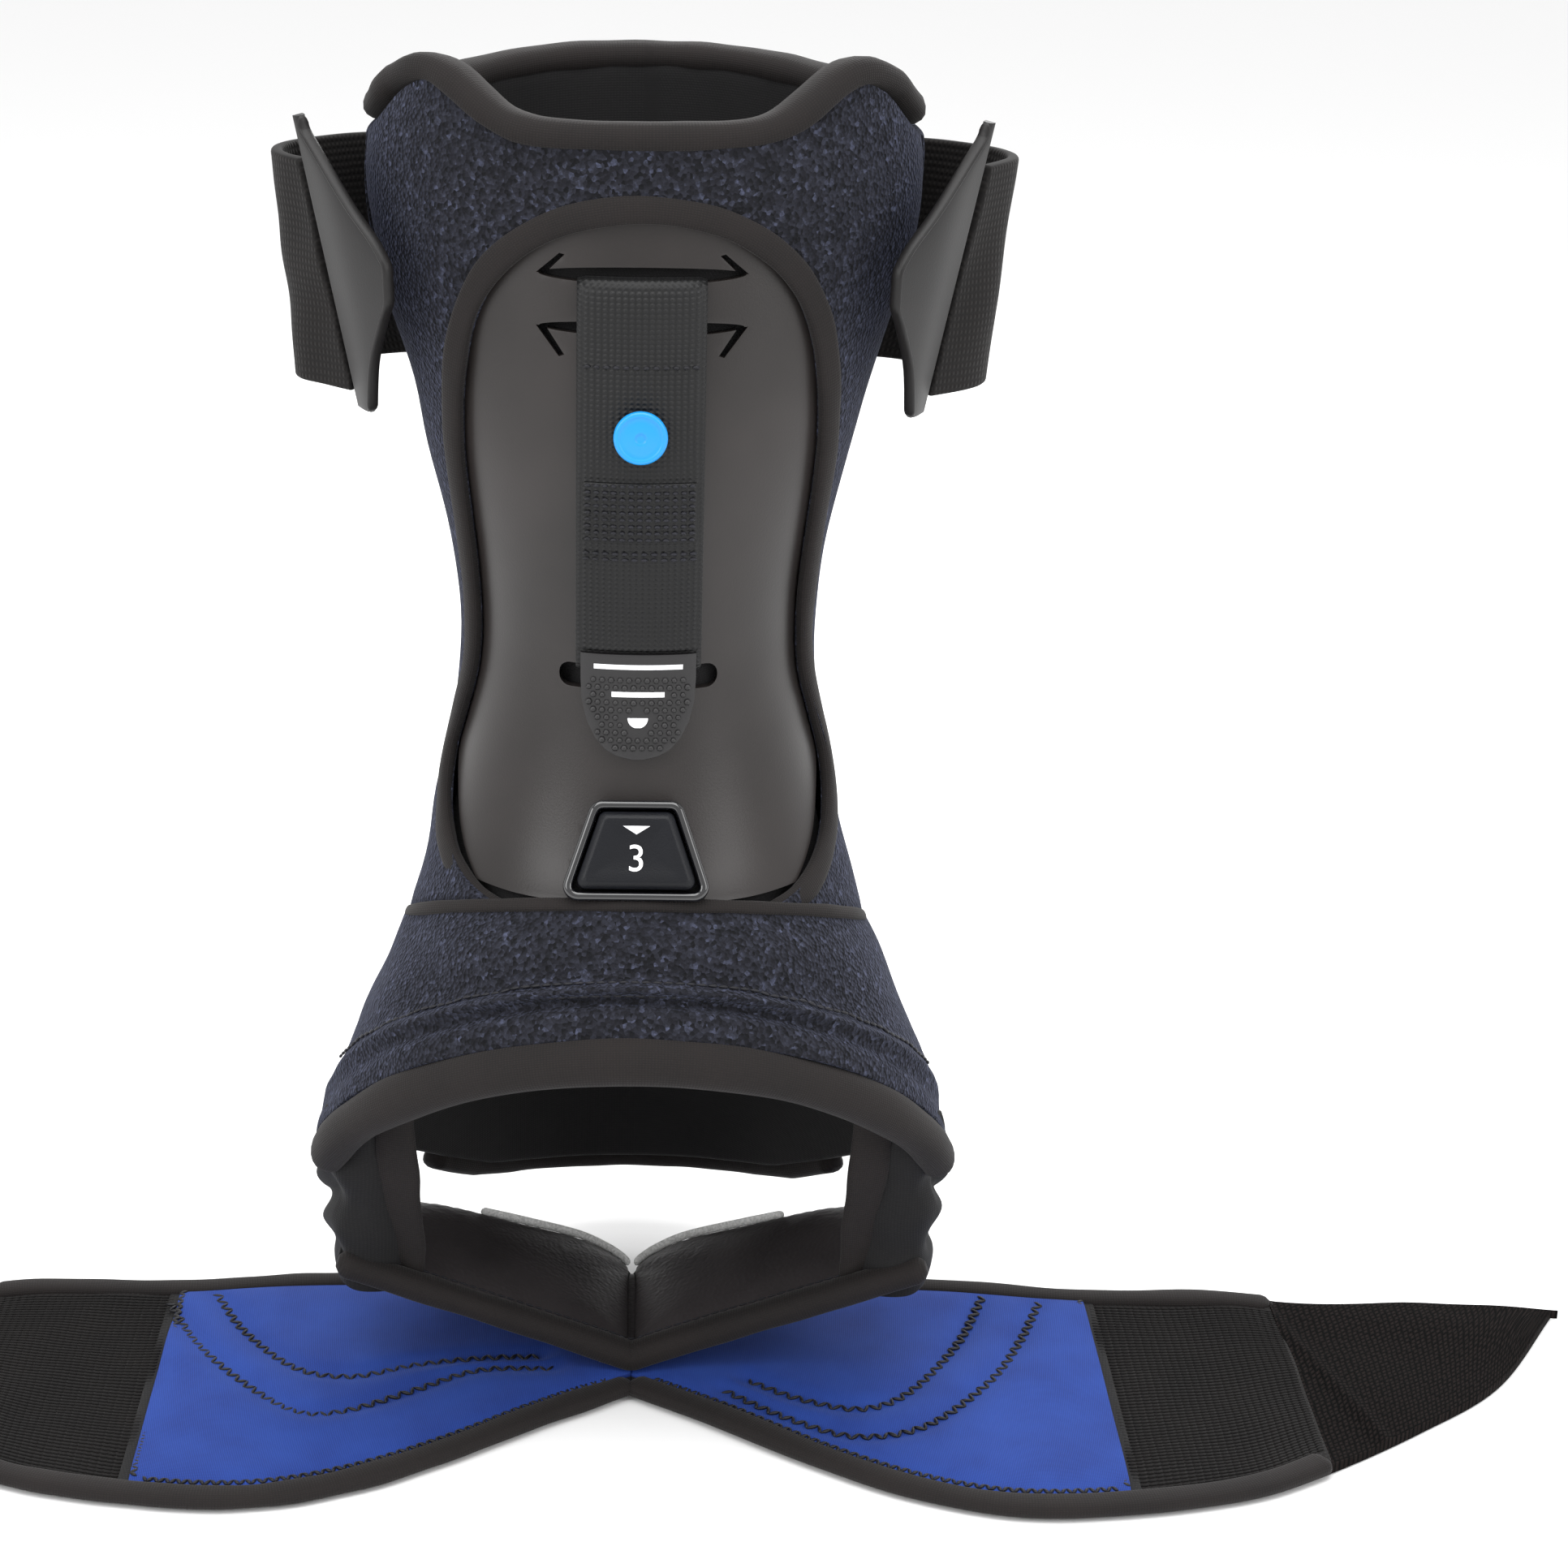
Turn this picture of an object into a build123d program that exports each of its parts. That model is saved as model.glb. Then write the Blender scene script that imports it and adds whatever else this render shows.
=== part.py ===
"""Ankle foot orthosis: a padded sleeve with a moulded shin shell, a foot band and two wrap straps.

Millimetres. X is the wearer's left to right, Y runs back from the toes, Z is up, and the floor is
Z = 0. The cloth, the shell and the liner are layers of one tube, so each piece is cut from the
same set of nested lofts, and the clearance between two layers is the gap between two offsets.
"""
import math
import os

from build123d import *

os.makedirs("parts", exist_ok=True)

# The tube's stations from above the rim to below the sole: front point (y, z), back point (y, z),
# half width, where along the depth it is widest, and how full the back corners are.
STATIONS = [
    ((-51, 345), (48, 345), 61, 0.50, 0.707),
    ((-56, 300), (48, 300), 66, 0.50, 0.707),
    ((-60, 252), (43, 252), 53, 0.50, 0.707),
    ((-57.5, 198), (38, 198), 43.5, 0.50, 0.707),
    ((-66, 155), (38, 140), 51, 0.48, 0.70),
    ((-84, 133), (42, 100), 60, 0.45, 0.67),
    ((-98, 112), (46, 60), 73, 0.42, 0.61),
    ((-103, 82), (46, 24), 82, 0.42, 0.56),
    ((-100, 50), (40, -6), 85, 0.42, 0.52),
]

# Layers, as inward offsets from the outermost cloth.
SKIN = (0.0, 2.0)
SHELL = (2.4, 5.0)
LINER = (5.4, 8.2)
ROLL_OUT = -1.8
ROLL_IN = 9.4

SEAM_Y = -8.0          # the side seams of the sleeve
CLEAR = 0.3            # gap between pieces that meet edge to edge

# Straps and small fittings.
WEB_WIDTH = 30.0
CALF_Z = (256.0, 312.5)
SLOT_W = 46.0
TAB_ROOT_Z = 203.0
TAB_END_Z = 177.5
DISC_Z, DISC_R = 256.0, 6.2

# The wrap straps that lie on the floor.
FOLD_X = 88.0          # where each strap starts to fold up
LINING_X = 122.0       # outer edge of the lining
ELASTIC_X = 173.0      # outer edge of the elastic
PAD_T, LINING_T = 3.0, 1.0


def section_plane(front, back):
    """The plane of one station, with local x across the leg and local y from front to back."""
    dy, dz = back[0] - front[0], back[1] - front[1]
    return Plane(origin=(0, front[0], front[1]), x_dir=(1, 0, 0), z_dir=(0, -dz, dy))


def section_points(station, inset):
    """Eight points round one station, moved inward by the inset."""
    front, back, half, widest, full = station
    depth = math.hypot(back[0] - front[0], back[1] - front[1])
    a = half - inset
    mid = widest * depth
    fore, aft = mid - inset, depth - mid - inset
    k = math.sqrt(0.5)
    right = [(k * a, mid - k * fore), (a, mid), (full * a, mid + k * aft)]
    left = [(-x, v) for x, v in reversed(right)]
    return [(0, mid - fore), *right, (0, mid + aft), *left]


# ---- Nested tubes: every layer below is the room between two of these ----
tube = {}
for inset in (ROLL_OUT, -1.0, *SKIN, *SHELL, *LINER, 6.6, ROLL_IN):
    with BuildPart() as hull:
        for station in STATIONS:
            with BuildSketch(section_plane(station[0], station[1])):
                with BuildLine():
                    Spline(*section_points(station, inset), periodic=True)
                make_face()
        loft(ruled=True)
    tube[inset] = hull.part


def front_y(z, out=0.0):
    """Depth of the cloth's front surface on the centre line at a height, plus a distance back."""
    hits = tube[0.0].find_intersection_points(Axis((0, 0, z), (0, -1, 0)))
    return min(point.Y for point, _ in hits) + out


def export(piece, label):
    piece.part.label = label
    export_step(piece.part, f"parts/{label}.step")


# ---- Side profiles, in y and z, that part the leg from the foot ----
FRONT_EDGE = [(-120, 169), (-75, 148.5), (-18, 122)]      # top edge of the foot band
BACK_EDGE = [(-18, 122), (80, 128)]                       # lower edge of the leg part

leg_front_side = [(-140, 400), FRONT_EDGE[0], FRONT_EDGE[1], FRONT_EDGE[2], (SEAM_Y, 122.3),
                  (SEAM_Y, 400)]
leg_rear_side = [(SEAM_Y + CLEAR, 400), (SEAM_Y + CLEAR, 122.6), BACK_EDGE[1], (80, 400)]
liner_side = [(-140, 400), (-140, 178.4), FRONT_EDGE[1], FRONT_EDGE[2], BACK_EDGE[1], (80, 400)]

# The shell reaches a little way under the foot band, and draws back out of it as the leg leans.
shell_side = [(-140, 400), (-140, 165), (-78, 138.5), (-48, 127), (-27, 150), (-26, 200),
              (-26, 240), (-9, 262), (-9, 400)]


# ---- Openings and outlines seen from the front, in x and z ----
def mirrored(points):
    """A closed outline from its right half, listed from the top down."""
    return [*points, *[(-x, z) for x, z in reversed(points) if x > 0]]


# The bound opening in the front cloth, and the shell just larger than it.
opening_half = [(0, 298.5), (14, 295.5), (27, 287), (36, 275), (41, 261), (42, 244), (40.5, 222),
                (39.5, 200), (40, 186), (43.5, 173), (47, 158), (48.5, 145), (50, 120), (50, 90)]
shell_half = [(0, 303), (16, 300), (31, 290.5), (41, 277), (46.5, 262), (49, 244), (56, 222),
              (60, 200), (60, 100)]


def front_z(x):
    """Height of the front rim: low on the shin, rising to two ears, falling to the seams."""
    return 325.5 + 7.5 * math.exp(-((abs(x) - 47) / 16) ** 2) - 6.0 * max(0, abs(x) - 55) / 10


rim_front = [(x, front_z(x)) for x in range(-75, 76, 5)]
rim_rear = [(x, 331.0 - 9.5 * (abs(x) / 66) ** 2.4) for x in range(-75, 76, 5)]
rim_low = [(x, min(z, w)) for (x, z), (_, w) in zip(rim_front, rim_rear)]
RIM_H = 8.0


def under(curve, drop, bottom=0.0):
    """The outline below a rim curve, lowered by a drop."""
    return [(x, z - drop) for x, z in curve] + [(curve[-1][0], bottom), (curve[0][0], bottom)]


def front_outline(half):
    """The face inside a mirrored outline, level across the top."""
    with BuildSketch(Plane.XZ) as face:
        with BuildLine():
            Spline(*half, tangents=[(1, 0), (0, -1)])
            Polyline(half[-1], (0, half[-1][1]), half[0])
        make_face()
        mirror(about=Plane.YZ)
    return face.sketch


opening = front_outline(opening_half)
opening_outer = front_outline([(x if x == 0 else x + 4.5, z + (5.0 if x == 0 else 3.5 if x < 30 else 0))
                               for x, z in opening_half])

# ---- Shin shell ----
slot_rows = [(291.0, SLOT_W), (279.5, SLOT_W)]
window_plane = Plane(origin=(0, -66.0, 157.5), x_dir=(1, 0, 0), z_dir=(0, -0.914, 0.406))
WINDOW = [(-15.3, -9.6), (15.3, -9.6), (8.8, 9.6), (-8.8, 9.6)]
BEZEL_W = 2.4

with BuildPart() as leg_shell:
    add(tube[SHELL[0]])
    add(tube[SHELL[1]], mode=Mode.SUBTRACT)
    with BuildSketch(Plane.YZ):
        Polygon(*shell_side, align=None)
    extrude(amount=90, both=True, mode=Mode.INTERSECT)
    extrude(front_outline(shell_half), amount=140, mode=Mode.INTERSECT)
    # Two strap slots above and below the bar, with tapering ends, and the lower strap slot.
    with BuildSketch(Plane.XZ):
        for z, width in slot_rows:
            with Locations((0, z)):
                Ellipse(width / 2, 1.9)
        with Locations((0, 196.5)):
            SlotOverall(38, 5.0)
    extrude(amount=140, mode=Mode.SUBTRACT)
    with BuildSketch(window_plane):
        with BuildLine():
            Polyline(*WINDOW, close=True)
        make_face()
        offset(amount=BEZEL_W + 0.15)
    extrude(amount=14, both=True, mode=Mode.SUBTRACT)
export(leg_shell, "leg_shell")

# ---- Window frame and the angle insert it holds ----
with BuildPart() as insert_bezel:
    with BuildSketch(window_plane.offset(-5.2)):
        with BuildLine():
            Polyline(*WINDOW, close=True)
        make_face()
        offset(amount=BEZEL_W)
    extrude(amount=7.6)
    with BuildSketch(window_plane.offset(-6)):
        with BuildLine():
            Polyline(*WINDOW, close=True)
        make_face()
    extrude(amount=12, mode=Mode.SUBTRACT)
export(insert_bezel, "insert_bezel")

with BuildPart() as angle_insert:
    with BuildSketch(window_plane.offset(-5.2)):
        with BuildLine():
            Polyline(*WINDOW, close=True)
        make_face()
        offset(amount=-0.6)
    extrude(amount=9.4)
    chamfer(angle_insert.faces().sort_by(Axis((0, 0, 0), (0, -0.914, 0.406)))[-1].edges(), 1.2)
export(angle_insert, "angle_insert")

# ---- Front cloth of the sleeve, open over the shell, and the binding round the opening ----
with BuildPart() as sleeve_front:
    add(tube[SKIN[0]])
    add(tube[SKIN[1]], mode=Mode.SUBTRACT)
    with BuildSketch(Plane.YZ):
        Polygon(*leg_front_side, align=None)
    extrude(amount=90, both=True, mode=Mode.INTERSECT)
    with BuildSketch(Plane.XZ):
        Polygon(*under(rim_front, RIM_H + 0.1), align=None)
    extrude(amount=140, both=True, mode=Mode.INTERSECT)
    extrude(opening, amount=140, mode=Mode.SUBTRACT)
export(sleeve_front, "sleeve_front")

with BuildPart() as opening_binding:
    add(tube[ROLL_OUT])
    add(tube[0.0], mode=Mode.SUBTRACT)
    with BuildSketch(Plane.YZ):
        Polygon((-140, 400), (-140, 178.4), (-75, 148.9), (-20, 123.4), (-20, 400), align=None)
    extrude(amount=90, both=True, mode=Mode.INTERSECT)
    extrude(opening_outer, amount=140, mode=Mode.INTERSECT)
    extrude(opening, amount=140, mode=Mode.SUBTRACT)
export(opening_binding, "opening_binding")

# ---- Rear of the sleeve and the liner inside it ----
with BuildPart() as sleeve_rear:
    add(tube[SKIN[0]])
    add(tube[SHELL[1]], mode=Mode.SUBTRACT)
    with BuildSketch(Plane.YZ):
        Polygon(*leg_rear_side, align=None)
    extrude(amount=90, both=True, mode=Mode.INTERSECT)
    with BuildSketch(Plane.XZ):
        Polygon(*under(rim_rear, RIM_H + 0.1), align=None)
    extrude(amount=140, both=True, mode=Mode.INTERSECT)
export(sleeve_rear, "sleeve_rear")

with BuildPart() as leg_liner:
    add(tube[LINER[0]])
    add(tube[LINER[1]], mode=Mode.SUBTRACT)
    with BuildSketch(Plane.YZ):
        Polygon(*liner_side, align=None)
    extrude(amount=90, both=True, mode=Mode.INTERSECT)
    with BuildSketch(Plane.XZ):
        Polygon(*under(rim_low, RIM_H + 1.0), align=None)
    extrude(amount=140, both=True, mode=Mode.INTERSECT)
    # Pockets for the window frame and for the strap where it passes behind the bar.
    with BuildSketch(window_plane):
        with BuildLine():
            Polyline(*WINDOW, close=True)
        make_face()
        offset(amount=BEZEL_W + 0.3)
    extrude(amount=20, both=True, mode=Mode.SUBTRACT)
    with BuildSketch(Plane.XZ):
        with Locations((0, 285.2), (0, 197)):
            Rectangle(WEB_WIDTH + 2, 19)
    extrude(amount=140, mode=Mode.SUBTRACT)
export(leg_liner, "leg_liner")

# ---- Rolled bindings round the top ----
with BuildPart() as rim_binding_front:
    add(tube[ROLL_OUT])
    add(tube[ROLL_IN], mode=Mode.SUBTRACT)
    with BuildSketch(Plane.XZ):
        Polygon(*rim_front, *[(x, z - RIM_H) for x, z in reversed(rim_front)], align=None)
    extrude(amount=140, both=True, mode=Mode.INTERSECT)
    with BuildSketch(Plane.YZ):
        Polygon((-140, 300), (SEAM_Y, 300), (SEAM_Y, 400), (-140, 400), align=None)
    extrude(amount=90, both=True, mode=Mode.INTERSECT)
export(rim_binding_front, "rim_binding_front")

with BuildPart() as rim_binding_rear:
    add(tube[ROLL_OUT])
    add(tube[ROLL_IN], mode=Mode.SUBTRACT)
    with BuildSketch(Plane.XZ):
        Polygon(*rim_rear, *[(x, z - RIM_H) for x, z in reversed(rim_rear)], align=None)
    extrude(amount=140, both=True, mode=Mode.INTERSECT)
    with BuildSketch(Plane.YZ):
        Polygon((SEAM_Y + CLEAR, 300), (140, 300), (140, 400), (SEAM_Y + CLEAR, 400), align=None)
    extrude(amount=90, both=True, mode=Mode.INTERSECT)
export(rim_binding_rear, "rim_binding_rear")

# ---- Webbing strap: out of the lower slot, up, round the bar and down over itself ----
WEB_T = 1.3
half_web = WEB_WIDTH / 2 - 1.5


def ribbon(path, thick, width):
    """A flat strap from its side profile in y and z."""
    with BuildPart() as piece:
        with BuildSketch(Plane.YZ):
            with BuildLine():
                Polyline(*path)
            trace(line_width=thick)
        extrude(amount=width / 2, both=True)
    return piece


climb = [(front_y(z, 1.15), z) for z in (196.5, 198, 225, 252, 279.5)]
descent = [(front_y(z, -0.35), z) for z in (291, 279, 252, 225, TAB_ROOT_Z + 1.6)]
shell_strap = ribbon([(front_y(196.5, 8.6), 196.5), *climb, (front_y(279.5, 8.6), 279.5),
                      (front_y(291, 8.6), 291), *descent], WEB_T, WEB_WIDTH)
export(shell_strap, "shell_strap")

stitch_patch = ribbon([(front_y(z, -1.5), z) for z in (231, 238, 245)], 0.7, WEB_WIDTH - 3)
export(stitch_patch, "stitch_patch")

with BuildPart() as snap_disc:
    with BuildSketch(Plane.XZ.offset(-front_y(DISC_Z, -1.3))):
        with Locations((0, DISC_Z)):
            Circle(DISC_R)
    extrude(amount=2.2)
    fillet(snap_disc.faces().sort_by(Axis.Y)[0].edges(), 0.9)
export(snap_disc, "snap_disc")

with BuildPart() as strap_end_tab:
    add(ribbon([(front_y(z, -0.7), z) for z in (TAB_ROOT_Z, 190, TAB_END_Z)], 2.2,
               WEB_WIDTH - 3).part)
    with BuildSketch(Plane.XZ):
        with BuildLine():
            low = TAB_END_Z
            Line((-half_web, TAB_ROOT_Z + 2), (half_web, TAB_ROOT_Z + 2))
            Spline((half_web, TAB_ROOT_Z + 2), (12.8, 191), (8.5, low + 2.4), (0, low + 0.2),
                   (-8.5, low + 2.4), (-12.8, 191), (-half_web, TAB_ROOT_Z + 2))
        make_face()
    extrude(amount=140, mode=Mode.INTERSECT)
export(strap_end_tab, "strap_end_tab")

# ---- Calf strap: sewn round the back, standing out in a loop each side, with a grip tab ----
with BuildPart() as calf_strap:
    add(tube[ROLL_OUT])
    add(tube[0.0], mode=Mode.SUBTRACT)
    with BuildSketch(Plane.YZ):
        Polygon((24, CALF_Z[0]), (90, CALF_Z[0]), (90, CALF_Z[1]), (24, CALF_Z[1]), align=None)
    extrude(amount=90, both=True, mode=Mode.INTERSECT)
export(calf_strap, "calf_strap")

LOOP_LOW = [(48, 24), (66, 17), (80, 3), (80.5, -10), (67.8, -21.6)]
LOOP_HIGH = [(61.5, 22), (74, 16), (85, 4), (86.5, -9), (79.2, -21.4)]
with BuildPart() as calf_loop_right:
    for z, path in ((CALF_Z[0] + 1, LOOP_LOW), (CALF_Z[1] - 1, LOOP_HIGH)):
        with BuildSketch(Plane.XY.offset(z)):
            with BuildLine():
                Spline(*path)
            trace(line_width=2.4)
    loft()
export(calf_loop_right, "calf_loop_right")

# The grip tab leans out with the loop, and turns about its slanting root.
TAB_Z = (254.0, 322.0)
GRIP_LOW = [(65.9, -24.0), (62.0, -33.0), (57.0, -41.5)]
GRIP_HIGH = [(79.7, -24.0), (71.5, -36.5), (58.5, -49.5)]
GRIP_EDGE = [(80.8, 322), (74.5, 314), (66.5, 303), (60, 295), (56.8, 287), (59.5, 277),
             (62, 267), (63.2, 254)]
with BuildPart() as calf_tab_right:
    for z, path in zip(TAB_Z, (GRIP_LOW, GRIP_HIGH)):
        with BuildSketch(Plane.XY.offset(z)):
            with BuildLine():
                Spline(*path)
            trace(line_width=3.0)
    loft()
    with BuildSketch(Plane.XZ):
        with BuildLine():
            Spline(*GRIP_EDGE)
            Polyline(GRIP_EDGE[-1], (90, TAB_Z[0]), (90, TAB_Z[1]), GRIP_EDGE[0])
        make_face()
    extrude(amount=140, mode=Mode.INTERSECT)
export(calf_tab_right, "calf_tab_right")

# ---- Foot band, its hem and the plate under it ----
band_side = [(-130, 173.2), (-75, 147.9), (-18, 121.4), (-7.7, 119), (-7.7, 62.2), (-40.3, 62.2),
             (-44.3, 71.6), (-92.4, 120.6), (-129, 157.9)]
with BuildPart() as instep_band:
    add(tube[SKIN[0]])
    add(tube[SKIN[1]], mode=Mode.SUBTRACT)
    with BuildSketch(Plane.YZ):
        Polygon(*band_side, align=None)
    extrude(amount=95, both=True, mode=Mode.INTERSECT)
export(instep_band, "instep_band")

# A thick rolled hem along the front opening, from one side of the sole to the other.
with BuildPart() as hem_binding:
    add(tube[ROLL_OUT])
    add(tube[ROLL_IN], mode=Mode.SUBTRACT)
    with BuildSketch(Plane.YZ):
        Polygon((-130.6, 159.2), (-92.6, 120.4), (-44.6, 71.4), (-40.6, 62.2), (-50, 62.2),
                (-51.4, 64.6), (-99.4, 113.6), (-137.4, 152.4), align=None)
    extrude(amount=95, both=True, mode=Mode.INTERSECT)
export(hem_binding, "hem_binding")

with BuildPart() as foot_plate:
    add(tube[SHELL[0]])
    add(tube[SHELL[1]], mode=Mode.SUBTRACT)
    with BuildSketch(Plane.YZ):
        Polygon((-120, 156.2), (-77.5, 136.5), (-40, 122), (-40, 95), (-66, 95),
                (-89.5, 119.2), (-118, 148.2), align=None)
    extrude(amount=95, both=True, mode=Mode.INTERSECT)
    with BuildSketch(Plane.XZ):
        Polygon((-46, 80), (46, 80), (46, 170), (-46, 170), align=None)
    extrude(amount=140, mode=Mode.INTERSECT)
export(foot_plate, "foot_plate")

with BuildPart() as foot_liner:
    add(tube[LINER[0]])
    add(tube[LINER[1]], mode=Mode.SUBTRACT)
    with BuildSketch(Plane.YZ):
        Polygon((-120, 153.5), (-77.5, 134.8), (-40, 120), (-18, 112), (20, 100), (60, 90),
                (60, 28), (40, 30.5), (22, 36), (5, 50), (-12, 60), (-42, 71), (-90, 118.8),
                (-118, 147.6), align=None)
    extrude(amount=95, both=True, mode=Mode.INTERSECT)
export(foot_liner, "foot_liner")

# ---- Heel panel and its bound lower edge ----
with BuildPart() as heel_panel:
    add(tube[SKIN[0]])
    add(tube[SHELL[1]], mode=Mode.SUBTRACT)
    with BuildSketch(Plane.YZ):
        Polygon((-7.4, 118.4), (80, 101), (80, 22.5), (40, 26), (22, 31), (5.4, 42.2),
                (5.4, 62.4), (-7.4, 62.4), align=None)
    extrude(amount=95, both=True, mode=Mode.INTERSECT)
export(heel_panel, "heel_panel")

with BuildPart() as heel_binding:
    add(tube[-1.0])
    add(tube[6.6], mode=Mode.SUBTRACT)
    with BuildSketch(Plane.YZ):
        Polygon((80, 22.1), (40, 25.6), (22, 30.6), (5.4, 41.8), (5.4, 35.8), (22, 24.6),
                (40, 19.6), (80, 16), align=None)
    extrude(amount=95, both=True, mode=Mode.INTERSECT)
export(heel_binding, "heel_binding")

# ---- Side panels that drop from the band to the sole ----
with BuildPart() as side_panel_right:
    add(tube[SKIN[0]])
    add(tube[SKIN[1]], mode=Mode.SUBTRACT)
    with BuildSketch(Plane.YZ):
        Polygon((-50, 61.9), (5.0, 61.9), (5.0, 37.5), (-12, 39.5), (-47, 39.5), align=None)
    extrude(amount=95, mode=Mode.INTERSECT)
export(side_panel_right, "side_panel_right")

# ---- Sole: two padded halves that rise from a fold on the centre line ----
SOLE_TILT = 23.0
sole_plane = Plane(origin=(0, 0, 4.6), x_dir=(math.cos(math.radians(SOLE_TILT)), 0,
                                              math.sin(math.radians(SOLE_TILT))),
                   z_dir=(-math.sin(math.radians(SOLE_TILT)), 0,
                          math.cos(math.radians(SOLE_TILT))))
FOLD_IN = 3.2
with BuildPart() as sole_foam_right:
    with BuildSketch(sole_plane):
        Polygon((1.8, -38), (82, -46.5), (82, -11), (61, 1.5), (1.8, 19), align=None)
    extrude(amount=2.6)
export(sole_foam_right, "sole_foam_right")

with BuildPart() as sole_cover_right:
    with BuildSketch(sole_plane.offset(2.7)):
        Polygon((FOLD_IN, -38), (82, -46.5), (82, -20), (61, 0), (FOLD_IN, 17.2), align=None)
    extrude(amount=3.4)
    fillet(sole_cover_right.faces().sort_by(Axis.Z)[-1].edges(), 0.9)
export(sole_cover_right, "sole_cover_right")

with BuildPart() as sole_front_binding:
    with BuildSketch(sole_plane.offset(-0.4)):
        Polygon((0.5, -44.5), (82, -53), (82, -46.8), (0.5, -38.3), align=None)
    extrude(amount=7.0)
    mirror(about=Plane.YZ)
export(sole_front_binding, "sole_front_binding")

# ---- Wrap straps ----
NEAR = [(0, -50), (24, -66), (48, -84), (70, -97), (93, -104), (119, -103), (150, -96),
        (172, -84), (200, -64), (226, -41), (250, -3)]
FAR = [(250, -3), (230, 0), (211, 1), (186, -2), (160, 3), (120, 3), (79, 8), (0, 8)]
TRIM = 7.0


def strap_piece(x0, x1, near_trim, bottom, thick, both_sides=False):
    """The part of a wrap strap between two x positions, with its near edge trimmed back."""
    with BuildPart() as piece:
        with BuildSketch(Plane.XY.offset(bottom)):
            with BuildLine():
                Spline(*[(x, y + near_trim) for x, y in NEAR])
                Line((NEAR[-1][0], NEAR[-1][1] + near_trim), (FAR[0][0], FAR[0][1] + 20))
                Polyline((FAR[0][0], FAR[0][1] + 20), (0, 28), (0, NEAR[0][1] + near_trim))
            make_face()
            with BuildLine():
                Polyline(FAR[-1], *reversed(FAR[:-1]), (260, -10), (260, -130), (0, -130),
                         close=True)
            make_face(mode=Mode.INTERSECT)
            with BuildLine():
                Polyline((x0, 40), (x0, -130), (x1, -130), (x1, 40), close=True)
            make_face(mode=Mode.INTERSECT)
        extrude(amount=thick)
        if both_sides:
            mirror(about=Plane.YZ)
    return piece


wing_root_pad = strap_piece(0, FOLD_X, TRIM, 0, PAD_T, both_sides=True)
export(wing_root_pad, "wing_root_pad")
wing_root_lining = strap_piece(0, FOLD_X, TRIM, PAD_T + 0.1, LINING_T, both_sides=True)
export(wing_root_lining, "wing_root_lining")
pad_right = strap_piece(FOLD_X + 0.6, LINING_X, TRIM, 0, PAD_T)
export(pad_right, "wing_pad_right")
lining_right = strap_piece(FOLD_X + 0.6, LINING_X, TRIM, PAD_T + 0.1, LINING_T)
export(lining_right, "wing_lining_right")
elastic_right = strap_piece(LINING_X + 0.2, ELASTIC_X, TRIM, 0, 2.6)
export(elastic_right, "wing_elastic_right")
hook_right = strap_piece(ELASTIC_X + 0.4, 251, 0.4, 0, 2.2)
export(hook_right, "wing_hook_tab_right")


def near_binding(x0, x1, both_sides=False):
    """The folded tape along the near edge of a wrap strap."""
    with BuildPart() as piece:
        with BuildSketch(Plane.XY):
            with BuildLine():
                Spline(*NEAR)
                Line(NEAR[-1], (NEAR[-1][0], NEAR[-1][1] + TRIM - 0.2))
                Spline(*[(x, y + TRIM - 0.2) for x, y in reversed(NEAR)])
                Line((0, NEAR[0][1] + TRIM - 0.2), NEAR[0])
            make_face()
            with BuildLine():
                Polyline((x0, 40), (x0, -130), (x1, -130), (x1, 40), close=True)
            make_face(mode=Mode.INTERSECT)
        extrude(amount=4.2)
        if both_sides:
            mirror(about=Plane.YZ)
    return piece


root_binding = near_binding(0, FOLD_X, both_sides=True)
export(root_binding, "wing_root_binding")
wing_binding_right = near_binding(FOLD_X + 0.6, ELASTIC_X)
export(wing_binding_right, "wing_binding_right")

# ---- Left-hand pieces are mirror images ----
for right, label in ((calf_loop_right, "calf_loop_left"), (calf_tab_right, "calf_tab_left"),
                     (side_panel_right, "side_panel_left"), (sole_foam_right, "sole_foam_left"),
                     (sole_cover_right, "sole_cover_left"), (pad_right, "wing_pad_left"),
                     (lining_right, "wing_lining_left"), (elastic_right, "wing_elastic_left"),
                     (hook_right, "wing_hook_tab_left"), (wing_binding_right, "wing_binding_left")):
    with BuildPart() as left:
        mirror(right.part, about=Plane.YZ)
    export(left, label)
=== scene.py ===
# %% [markdown]
# # A drop-foot orthosis, dressed round its imported frame
# The object is a padded leg sleeve with a moulded shin shell, a foot band with a folded sole, two
# wrap straps that lie on the table and a calf strap that stands out in two loops. The frame holds
# the sizes and the moving bodies, so the scene starts by loading it.

# %% Load the frame
import math

import bmesh
import bpy
import numpy as np
from mathutils import Matrix, Vector


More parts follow.
